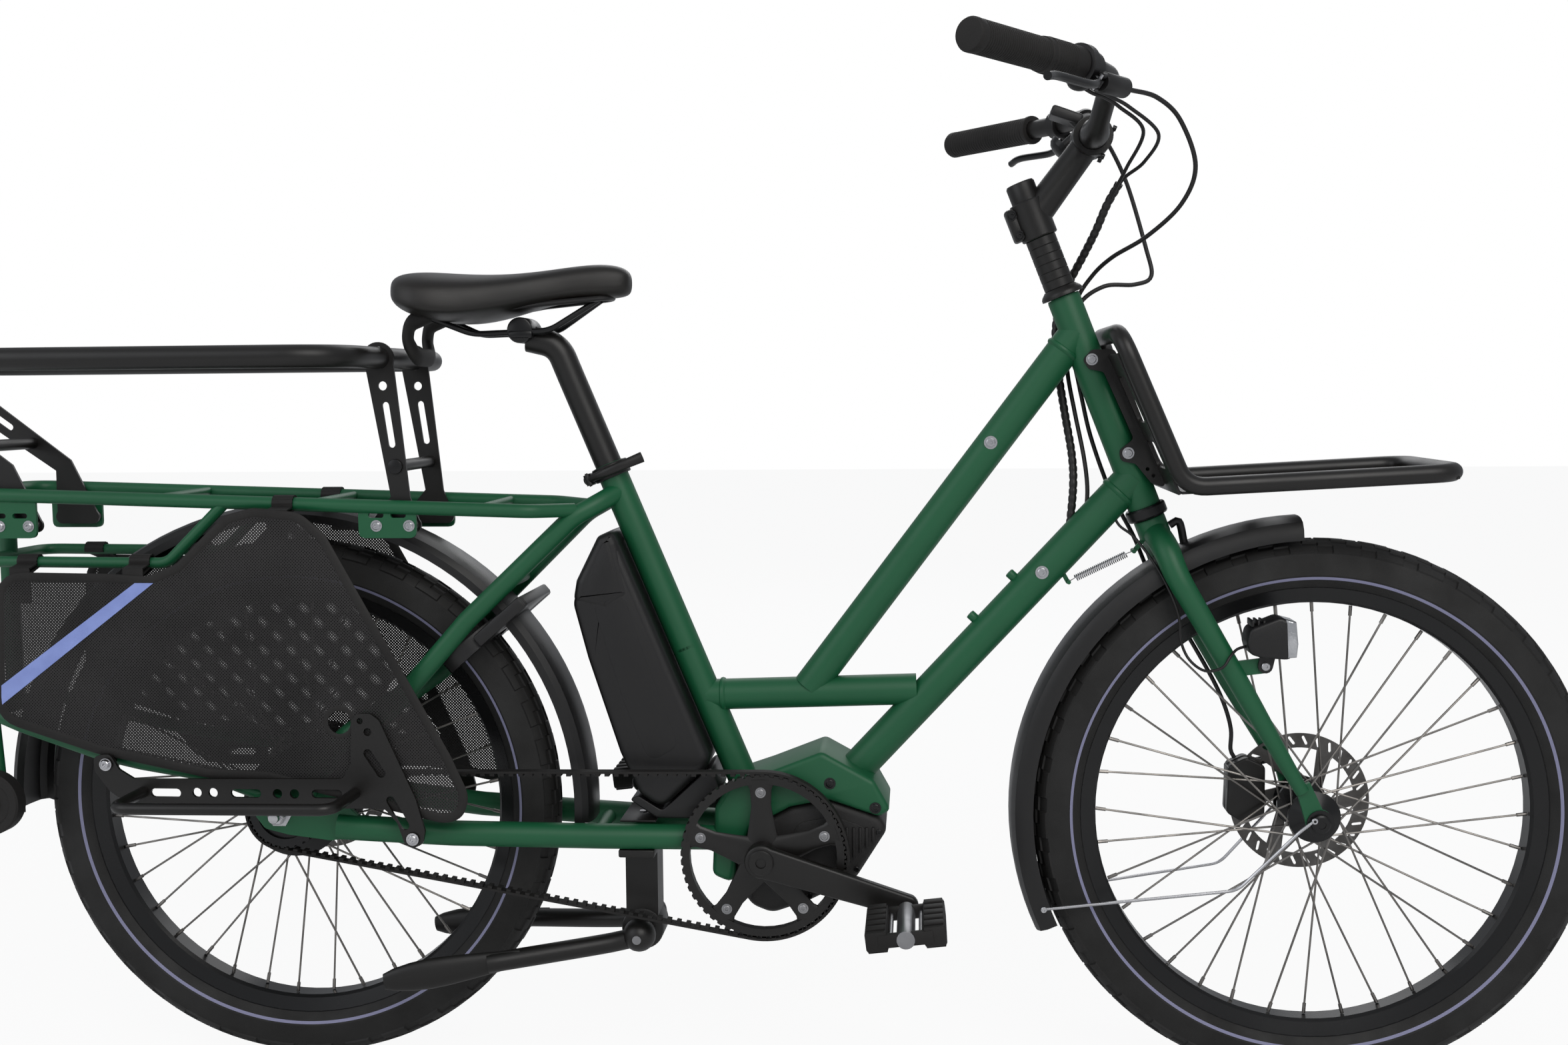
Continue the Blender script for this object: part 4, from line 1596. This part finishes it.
class CARGO_BIKE_OT_seat(bpy.types.Operator):
    """Build the seatpost, the saddle with its lifting loop, the collar and its lever"""
    bl_idname = "cargo_bike.seat"
    bl_label = "Saddle and Post"

    def execute(self, context):
        bm = bmesh.new()
        path = eased([seat_axis(0.56), seat_axis(0.815), (0.32, 0, 0.852), (0.286, 0, 0.86)], 0.09, 10)
        add_sweep(bm, path, 0.0157, 32)
        piece(bm, "post_tube", black_coat(), "seat", ("seatpost",))
        bm = bmesh.new()
        add_rod(bm, (0.281, -0.025, 0.869), (0.281, 0.025, 0.869), 0.015, 28, bevel=0.002)
        add_box(bm, (0.268, -0.027, 0.86), (0.296, 0.027, 0.868), 0.002)
        for side in (1, -1):
            rail = [(0.18, side * 0.04, 0.884), (0.225, side * 0.021, 0.865),
                    (0.315, side * 0.021, 0.868), (0.37, side * 0.008, 0.903)]
            add_sweep(bm, eased(rail, 0.04, 6), 0.0035, 14)
        piece(bm, "saddle_rails", black_gloss(), "seat")
        bm = bmesh.new()
        half = [(0.185, -0.035, 0.89), (0.156, -0.037, 0.878), (0.153, -0.037, 0.858),
                (0.16, -0.028, 0.839)]
        add_sweep(bm, eased(half + mirrored(half), 0.02, 6), 0.0105, 20, flat=((1, 0, 0), 0.6))
        piece(bm, "lifting_loop", soft_rubber(), "seat")
        self.saddle()
        self.collar()
        return {"FINISHED"}

    def saddle(self):
        """Loft of slices from tail to nose, then smoothed."""
        slices = [(0.137, 0.036, 0.9265, 0.906), (0.1425, 0.066, 0.9325, 0.896),
                  (0.154, 0.085, 0.9365, 0.888), (0.18, 0.0945, 0.9375, 0.88), (0.215, 0.087, 0.9345, 0.876),
                  (0.26, 0.061, 0.933, 0.883), (0.305, 0.0365, 0.937, 0.896), (0.34, 0.029, 0.942, 0.902),
                  (0.375, 0.026, 0.945, 0.904), (0.398, 0.0205, 0.9415, 0.9055), (0.4085, 0.012, 0.933, 0.91)]
        steps = 24
        skirt = 0.012
        bm = bmesh.new()
        rings = []
        for x, half, top, bottom in slices:
            verts = []
            for step in range(steps):
                turn = 2 * math.pi * step / steps
                across = math.cos(turn)
                lift = math.sin(turn)
                y = half * math.copysign(abs(across) ** 0.75, across)
                if lift >= 0:
                    z = bottom + skirt + (top - bottom - skirt) * lift ** 0.62
                else:
                    z = bottom + skirt + skirt * lift
                    y *= 1.0 + 0.1 * lift
                verts.append(bm.verts.new((x, y, z)))
            rings.append([bm.edges.new((verts[i - 1], verts[i])) for i in range(steps)])
        for here, after in zip(rings, rings[1:]):
            bmesh.ops.bridge_loops(bm, edges=here + after)
        bmesh.ops.edgeloop_fill(bm, edges=rings[0])
        bmesh.ops.edgeloop_fill(bm, edges=rings[-1])
        made = piece(bm, "saddle_cushion", cover_vinyl(), "seat", ("saddle",), 80.0)
        smooth = made.modifiers.new("Smooth Surface", "SUBSURF")
        smooth.levels = 2
        smooth.render_levels = 2
        bm = bmesh.new()
        shell = [(0.165, -0.06, 0.8885), (0.22, -0.058, 0.887), (0.3, -0.027, 0.898),
                 (0.385, -0.016, 0.9055)]
        add_sweep(bm, eased(shell + mirrored(shell), 0.03, 5, True), 0.0034, 10, closed=True)
        piece(bm, "saddle_rim", black_plastic(), "seat")

    def collar(self):
        """Seat clamp with its pinch bolt and quick lever."""
        bm = bmesh.new()
        add_turned(bm, sleeve(0.0178, 0.0215, -0.017, -0.001, 0.0007, 0.0008), SEAT_TOP, SEAT_UP, 40)
        back = Vector((-1.0, 0.0, -0.415)).normalized()
        pinch = SEAT_TOP - SEAT_UP * 0.009 + back * 0.026
        add_rod(bm, pinch - LATERAL * 0.011, pinch + LATERAL * 0.011, 0.0072, 20, bevel=0.0008)
        pivot = pinch - LATERAL * 0.0155
        add_rod(bm, pivot - LATERAL * 0.0018, pinch + LATERAL * 0.017, 0.0026, 14)
        add_rod(bm, pivot - SEAT_UP * 0.008, pivot + SEAT_UP * 0.008, 0.0018, 14)
        piece(bm, "seat_clamp_ring", black_coat(), "frame", ("seat_collar",))
        bm = bmesh.new()
        path = flowing([pivot - back * x - LATERAL * y
                        for x, y in ((0.0, 0.0), (0.018, 0.01), (0.042, 0.012), (0.07, 0.007))], 0.006)
        last = len(path) - 1
        add_sweep(bm, path, 0.005, 18, radii=[0.85 + 0.4 * i / last for i in range(last + 1)],
                  flat=(LATERAL, 0.6))
        add_rod(bm, pivot - SEAT_UP * 0.0065, pivot + SEAT_UP * 0.0065, 0.0042, 20)
        piece(bm, "seat_quick_lever", black_coat(), "seat_lever", ("seat_lever",))


class CARGO_BIKE_OT_carrier(bpy.types.Operator):
    """Build the front carrier with its slotted deck and brackets"""
    bl_idname = "cargo_bike.carrier"
    bl_label = "Front Carrier"

    def execute(self, context):
        half = [(0.952, -0.1, 0.856), (1.023, -0.1, 0.69), (1.308, -0.1, 0.705)]
        bm = bmesh.new()
        add_sweep(bm, eased(half + mirrored(half), 0.032, 8, True), 0.01, 24, closed=True)
        run = Vector((0.2892, 0, 0.0156)).normalized()
        slots = [(0.0432 + 0.06 * index, 0.0752 + 0.06 * index, -0.07, 0.07) for index in range(4)]
        self.sheet(bm, Vector((1.0198, 0, 0.6838)), run, Vector((-run.z, 0, run.x)), 0.289, slots)
        rise = Vector((-0.0686, 0, 0.1535)).normalized()
        windows = [(low, high, side * near, side * 0.085)
                   for low, high, near in ((0.03, 0.062, 0.03), (0.085, 0.14, 0.034)) for side in (-1, 1)]
        self.sheet(bm, Vector((1.0176, 0, 0.6822)), rise, Vector((rise.z, 0, -rise.x)), 0.166, windows)
        outline = [(0.931, 0.84), (0.9205, 0.829), (0.928, 0.818), (0.944, 0.815), (0.978, 0.74),
                   (0.962, 0.727), (0.964, 0.715), (0.98, 0.712), (0.998, 0.69), (1.012, 0.685),
                   (1.014, 0.696), (0.956, 0.84)]
        holes = [ring((0.9935, 0.706), 0.0022, 12), ring((1.0, 0.6985), 0.0022, 12)]
        for side in (1, -1):
            add_plate(bm, rounded(outline, 0.006, 4), side * 0.0208, 0.003, holes)
        piece(bm, "carrier_frame", black_coat(), "frame", ("carrier_rack",))
        bm = bmesh.new()
        add_bolt_pairs(bm, [(0.931, 0.829), (0.972, 0.724)], 0.0223, 0.0046)
        piece(bm, "carrier_bolts", bright_steel(), "frame")
        return {"FINISHED"}

    def sheet(self, bm, start, run, normal, length, openings):
        """Sheet across the carrier with rounded openings, given as (low, high, from y, to y)."""
        half_width = 0.098
        holes = [rounded([(low, near), (high, near), (high, far), (low, far)], 0.006, 4)
                 for low, high, near, far in openings]
        outline = [(0.0, -half_width), (length, -half_width), (length, half_width), (0.0, half_width)]
        place = basis(run, LATERAL, normal, start) @ Matrix.Rotation(math.pi / 2, 4, "X")
        add_plate(bm, outline, 0.0, 0.003, holes, place=place)


class CARGO_BIKE_OT_stand(bpy.types.Operator):
    """Build the double-leg stand and its bracket"""
    bl_idname = "cargo_bike.stand"
    bl_label = "Stand"

    def execute(self, context):
        bm = bmesh.new()
        x, z = STAND_PIVOT
        arm = [(x - 0.019, 0.264), (x - 0.019, z), (x + 0.019, z), (x + 0.019, 0.264)]
        add_plate(bm, arm, 0.0, 0.04, bevel=0.004)
        add_rod(bm, (x, -0.021, z), (x, 0.021, z), 0.025, 40, bevel=0.003)
        add_box(bm, (x - 0.021, -0.054, 0.26), (x + 0.021, 0.054, 0.2695), 0.002)
        add_box(bm, (x - 0.021, -0.04, 0.2985), (x + 0.021, 0.04, 0.301), 0.0008)
        piece(bm, "stand_mount", black_coat(), "frame", ("stand_bracket",))
        bm = bmesh.new()
        add_rod(bm, (x, 0, 0.3005), (x, 0, 0.3022), 0.005, 6)
        piece(bm, "stand_bolt", bright_steel(), "frame")
        for name, side in (("right", -1), ("left", 1)):
            pivot = Vector((x, side * 0.0412, z))
            middle = Vector((0.248, side * 0.079, 0.142))
            tip = Vector((0.125, side * 0.1, 0.124))
            bm = bmesh.new()
            path = flowing([pivot, (0.38, side * 0.044, 0.156), middle, middle.lerp(tip, 0.05)], 0.012)
            add_sweep(bm, path, 0.0113, 24)
            reach = tip - middle
            across = reach.cross(UP).normalized()
            leaf = [middle + reach * t for t in (-0.25, -0.1, 0.05, 0.22, 0.4, 0.58, 0.75, 0.9, 1.0)]
            widths = [0.9, 1.0, 1.15, 1.33, 1.5, 1.58, 1.45, 1.18, 0.8]
            self.foot(bm, leaf, widths, across)
            add_ball(bm, pivot, 0.0194)
            piece(bm, "stand_leg_%s_tube" % name, black_coat(), "stand_leg_" + name, ("stand_leg_" + name,))
            bm = bmesh.new()
            add_rod(bm, pivot + LATERAL * side * 0.0188, pivot + LATERAL * side * 0.02, 0.0052, 20)
            piece(bm, "stand_cap_" + name, brushed_alloy(), "stand_leg_" + name)
        return {"FINISHED"}

    def foot(self, bm, points, widths, across):
        """Leaf-shaped foot: a ring swept back and squeezed to half its width."""
        run = (points[-1] - points[0]).normalized()
        rise = across.cross(run).normalized()
        edges = None
        previous = None
        for point, width in zip(points, widths):
            place = basis(across * 0.5, rise, run, point) @ Matrix.Diagonal((width, width, 1.0, 1.0))
            if edges is None:
                edges = circle_edges(bm, 20, 0.0115, place)
                bmesh.ops.edgeloop_fill(bm, edges=edges)
            else:
                edges = extruded(bm, edges, place @ previous.inverted())
            previous = place
        bmesh.ops.edgeloop_fill(bm, edges=edges)


class CARGO_BIKE_OT_lock(bpy.types.Operator):
    """Build the ring lock's housing and its bar"""
    bl_idname = "cargo_bike.lock"
    bl_label = "Ring Lock"

    def execute(self, context):
        outward = heading_of(math.radians(41.0))
        normal = Vector((-outward.z, 0, outward.x))
        centre = REAR_AXLE + outward * 0.2825
        place = basis(outward, LATERAL, normal, centre)

        def ring_point(angle, radius, rise=0.0):
            """Point round the lock, from its right end."""
            turn = math.radians(angle)
            return place @ Vector((radius * math.sin(turn), -radius * math.cos(turn), rise))

        bm = bmesh.new()
        section = [(0.0412, -0.0088), (0.0588, -0.0088), (0.0588, 0.0088), (0.0566, 0.0088),
                   (0.0566, -0.0066), (0.0434, -0.0066), (0.0434, 0.0088), (0.0412, 0.0088)]
        verts = [bm.verts.new(ring_point(-25, radius, rise)) for radius, rise in section]
        edges = [bm.edges.new((verts[i - 1], verts[i])) for i in range(len(verts))]
        face = bm.faces.new(verts)
        bmesh.ops.spin(bm, geom=[face, *edges, *verts], cent=centre, axis=normal, angle=math.radians(230),
                       steps=46)
        ring_verts = len(bm.verts)
        for y in (-0.0555, 0.0555):
            add_box(bm, (0.024, y - 0.0095, -0.0094), (0.096, y + 0.0095, 0.0055), 0.003)
        add_box(bm, (0.06, -0.06, -0.0086), (0.098, 0.06, 0.005), 0.003)
        bm.verts.ensure_lookup_table()
        bmesh.ops.transform(bm, matrix=place, verts=bm.verts[ring_verts:])
        piece(bm, "lock_housing", black_plastic(), "frame", ("ring_lock",))
        bm = bmesh.new()
        bar_radius = 0.05
        path = [ring_point(-15 + 150 * step / 24, bar_radius) for step in range(25)]
        add_sweep(bm, path, 0.0045, 18)
        knob = ring_point(127, bar_radius)
        add_rod(bm, knob, knob + normal * 0.0112, 0.0035, 16, bevel=0.0005)
        piece(bm, "lock_bar", bright_steel(), "lock_shackle", ("lock_shackle",))
        return {"FINISHED"}


class CARGO_BIKE_OT_cables(bpy.types.Operator):
    """Build the hoses, cables and steering spring, which bend across the steering joint"""
    bl_idname = "cargo_bike.cables"
    bl_label = "Cables"

    def execute(self, context):
        head = Vector((0.921, 0, 0.85))
        bars = Vector((0.965, 0, 1.02))
        crown = Vector((1.01, 0, 0.59))
        upper = ahead_points([
            (-0.2155, 0.13, 1.085), (-0.1985, 0.095, 1.035), (-0.1815, 0.06, 0.96), (-0.1765, 0.046, 0.925),
            (-0.1965, 0.038, 0.915), (-0.2315, 0.031, 0.913), (-0.26, 0.03, 0.892), (-0.2685, 0.029, 0.85),
            (-0.2585, 0.028, 0.795)])
        lower = ahead_points([
            (-0.2585, 0.028, 0.795), (-0.2455, 0.029, 0.74), (-0.2215, 0.033, 0.675), (-0.1945, 0.042, 0.625),
            (-0.1715, 0.056, 0.575), (-0.1395, 0.061, 0.525), (-0.1025, 0.059, 0.461),
            (-0.0855, 0.058, 0.425), (-0.0775, 0.054, 0.395), (-0.0785, 0.049, 0.372),
            (-0.074, 0.048, 0.362)])
        rear = ahead_points([
            (-0.1965, -0.124, 1.097), (-0.1685, -0.097, 1.078), (-0.1485, -0.076, 1.033),
            (-0.1585, -0.05, 0.996), (-0.19, -0.015, 0.965), (-0.224, 0.02, 0.945),
            (-0.245, 0.038, 0.925), (-0.263, 0.0415, 0.895), (-0.2735, 0.039, 0.848),
            (-0.272, 0.034, 0.813), (-0.265, 0.022, 0.77), (-0.2555, 0.012, 0.72),
            (-0.2515, 0.008, 0.685), (-0.2525, 0.007, 0.656)])
        self.cord("front_hose_upper", "front_brake_hose", [*self.perch(1), *upper], HOSE_RADIUS, head, bars)
        self.cord("front_hose_lower", "front_brake_hose", lower, HOSE_RADIUS, Vector((0.94, 0, 0.74)), crown)
        self.cord("rear_hose_bend", "rear_brake_hose", [*self.perch(-1), *rear], HOSE_RADIUS, head, bars)
        lead = ahead_points([
            (-0.2255, -0.004, 0.66), (-0.2175, -0.008, 0.642), (-0.2005, -0.016, 0.628),
            (-0.1795, -0.036, 0.598), (-0.1645, -0.05, 0.567), (-0.1555, -0.05, 0.54),
            (-0.1535, -0.048, 0.5165), (-0.1445, -0.051, 0.4955), (-0.1295, -0.064, 0.485),
            (-0.1125, -0.0735, 0.49), (-0.1035, -0.07, 0.5015), (-0.0944, -0.062, 0.5089),
            (-0.0825, -0.059, 0.5121)])
        self.cord("lamp_lead", "headlamp_lead", lead, 0.0016, Vector((0.966, 0, 0.64)), crown)
        self.bundle(head, bars)
        self.spring()
        return {"FINISHED"}

    def perch(self, side):
        """First points of a brake hose, square to the perch's inner end."""
        start, along, reach = control_axes(side)
        end = start - along * 0.022 + reach * 0.027
        return [end, end - along * 0.014]

    def bend(self, bm, name, node, material, start, end):
        """Cord that follows the frame at start and the bars or fork at end."""
        made = piece(bm, name, material, None, (node,), 60.0)
        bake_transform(made)

    def cord(self, name, node, route, radius, start, end):
        """One round cord along its route."""
        bm = bmesh.new()
        add_sweep(bm, flowing(route, 0.004), radius, 12)
        self.bend(bm, name, node, cable_jacket(), start, end)

    def bundle(self, head, bars):
        """Spiral-wrapped bundle with the shifter's two cables running into it."""
        wrapped = ahead_points([
            (-0.2215, -0.017, 1.023), (-0.2335, -0.006, 1.001), (-0.244, 0.008, 0.974),
            (-0.256, 0.023, 0.948), (-0.27, 0.033, 0.92), (-0.283, 0.036, 0.885), (-0.2865, 0.033, 0.848),
            (-0.2825, 0.029, 0.81), (-0.2755, 0.023, 0.765), (-0.2685, 0.015, 0.72), (-0.2675, 0.008, 0.685),
            (-0.2715, 0.006, 0.635)])
        path = flowing(wrapped, 0.0022)
        bm = bmesh.new()
        wraps = (1.0, 1.0, 0.97, 0.84)
        add_sweep(bm, path, 0.0048, 14, radii=[wraps[index % 4] for index in range(len(path))])
        start, along, reach = control_axes(-1)
        flat = Vector((reach.x, reach.y, 0.0)).normalized()
        for forward, route in (
            (-0.003, [(-0.2676, -0.167, 1.0955), (-0.2543, -0.1532, 1.0935), (-0.2365, -0.133, 1.087),
                       (-0.207, -0.1, 1.067), (-0.2175, -0.048, 1.036), (-0.2255, -0.023, 1.018),
                       (-0.235, -0.004, 0.998)]),
            (0.0035, [(-0.2625, -0.1705, 1.0968), (-0.2505, -0.156, 1.0945), (-0.2255, -0.133, 1.086),
                      (-0.1905, -0.095, 1.064), (-0.1985, -0.048, 1.042), (-0.217, -0.021, 1.028),
                      (-0.23, -0.0095, 1.008)]),
        ):
            end = start + flat * forward - UP * 0.0148 + along * 0.0387
            add_sweep(bm, flowing([end, end - along * 0.014 - UP * 0.004, *ahead_points(route)], 0.004),
                      0.002, 12)
        self.bend(bm, "control_cables", "control_bundle", cable_jacket(), head, bars)

    def spring(self):
        """Close-wound coil with a straight hook at each end."""
        start = Vector((0.911, 0, 0.5775))
        end = Vector((0.979, 0, 0.6105))
        axis = (end - start).normalized()
        up = axis.cross(LATERAL)
        turns = 28
        steps = 14
        low = start + axis * 0.006
        high = end - axis * 0.006
        path = [start]
        for index in range(turns * steps + 1):
            angle = 2 * math.pi * index / steps
            across = LATERAL * math.cos(angle) + up * math.sin(angle)
            path.append(low.lerp(high, index / (turns * steps)) + across * 0.0036)
        path.append(end)
        bm = bmesh.new()
        add_sweep(bm, path, 0.00062, 8)
        self.bend(bm, "centring_spring", "steering_spring", bright_steel(), start, end)


class CARGO_BIKE_OT_rollers(bpy.types.Operator):
    """Build the two small parking rollers"""
    bl_idname = "cargo_bike.rollers"
    bl_label = "Parking Rollers"

    def execute(self, context):
        half = [(0.0053, -0.01), (0.014, -0.01), (0.015, -0.008), (0.026, -0.008), (0.0275, -0.01),
                (0.0355, -0.01), (0.0375, -0.008)]
        profile = [*half, *((radius, -y) for radius, y in half[::-1])]
        for name, side in (("right", -1), ("left", 1)):
            bm = bmesh.new()
            add_turned(bm, profile, Vector((ROLLER_AXLE[0], side * 0.079, ROLLER_AXLE[1])), LATERAL, 48)
            piece(bm, "parking_roller_%s_wheel" % name, soft_rubber(), "parking_roller_" + name,
                  ("parking_roller_" + name,))
        return {"FINISHED"}


PIECE_OPERATORS = (
    CARGO_BIKE_OT_stage, CARGO_BIKE_OT_main_frame, CARGO_BIKE_OT_rear_triangle, CARGO_BIKE_OT_cargo_rack,
    CARGO_BIKE_OT_passenger_rail, CARGO_BIKE_OT_foot_plates, CARGO_BIKE_OT_side_panels,
    CARGO_BIKE_OT_mudguards, CARGO_BIKE_OT_tyres, CARGO_BIKE_OT_wheels, CARGO_BIKE_OT_drive,
    CARGO_BIKE_OT_motor, CARGO_BIKE_OT_battery, CARGO_BIKE_OT_fork, CARGO_BIKE_OT_brakes, CARGO_BIKE_OT_stem,
    CARGO_BIKE_OT_controls, CARGO_BIKE_OT_seat, CARGO_BIKE_OT_carrier, CARGO_BIKE_OT_stand,
    CARGO_BIKE_OT_lock, CARGO_BIKE_OT_cables, CARGO_BIKE_OT_rollers,
)


class CARGO_BIKE_PT_panel(bpy.types.Panel):
    """Sizes, colours and pieces of the cargo bike"""
    bl_idname = "CARGO_BIKE_PT_panel"
    bl_label = "Cargo Bike"
    bl_space_type = "VIEW_3D"
    bl_region_type = "UI"
    bl_category = "Cargo Bike"

    def draw(self, context):
        column = self.layout.column()
        for name in ("paint_colour", "tube_sides", "tread_blocks", "tyre_radius", "belt_teeth",
                     "floor_colour"):
            column.prop(context.scene.cargo_bike, name)
        for operator in PIECE_OPERATORS:
            column.operator(operator.bl_idname)


CLASSES = (CargoBikeSettings, *PIECE_OPERATORS, CARGO_BIKE_PT_panel)


def register():
    for item in CLASSES:
        bpy.utils.register_class(item)
    bpy.types.Scene.cargo_bike = PointerProperty(type=CargoBikeSettings)


def unregister():
    del bpy.types.Scene.cargo_bike
    for item in reversed(CLASSES):
        bpy.utils.unregister_class(item)


def corners(box):
    return [[float(value) for value in corner] for corner in box]


def main():
    register()
    for operator in PIECE_OPERATORS:
        group, name = operator.bl_idname.split(".")
        getattr(getattr(bpy.ops, group), name)()


if __name__ == "__main__":
    main()
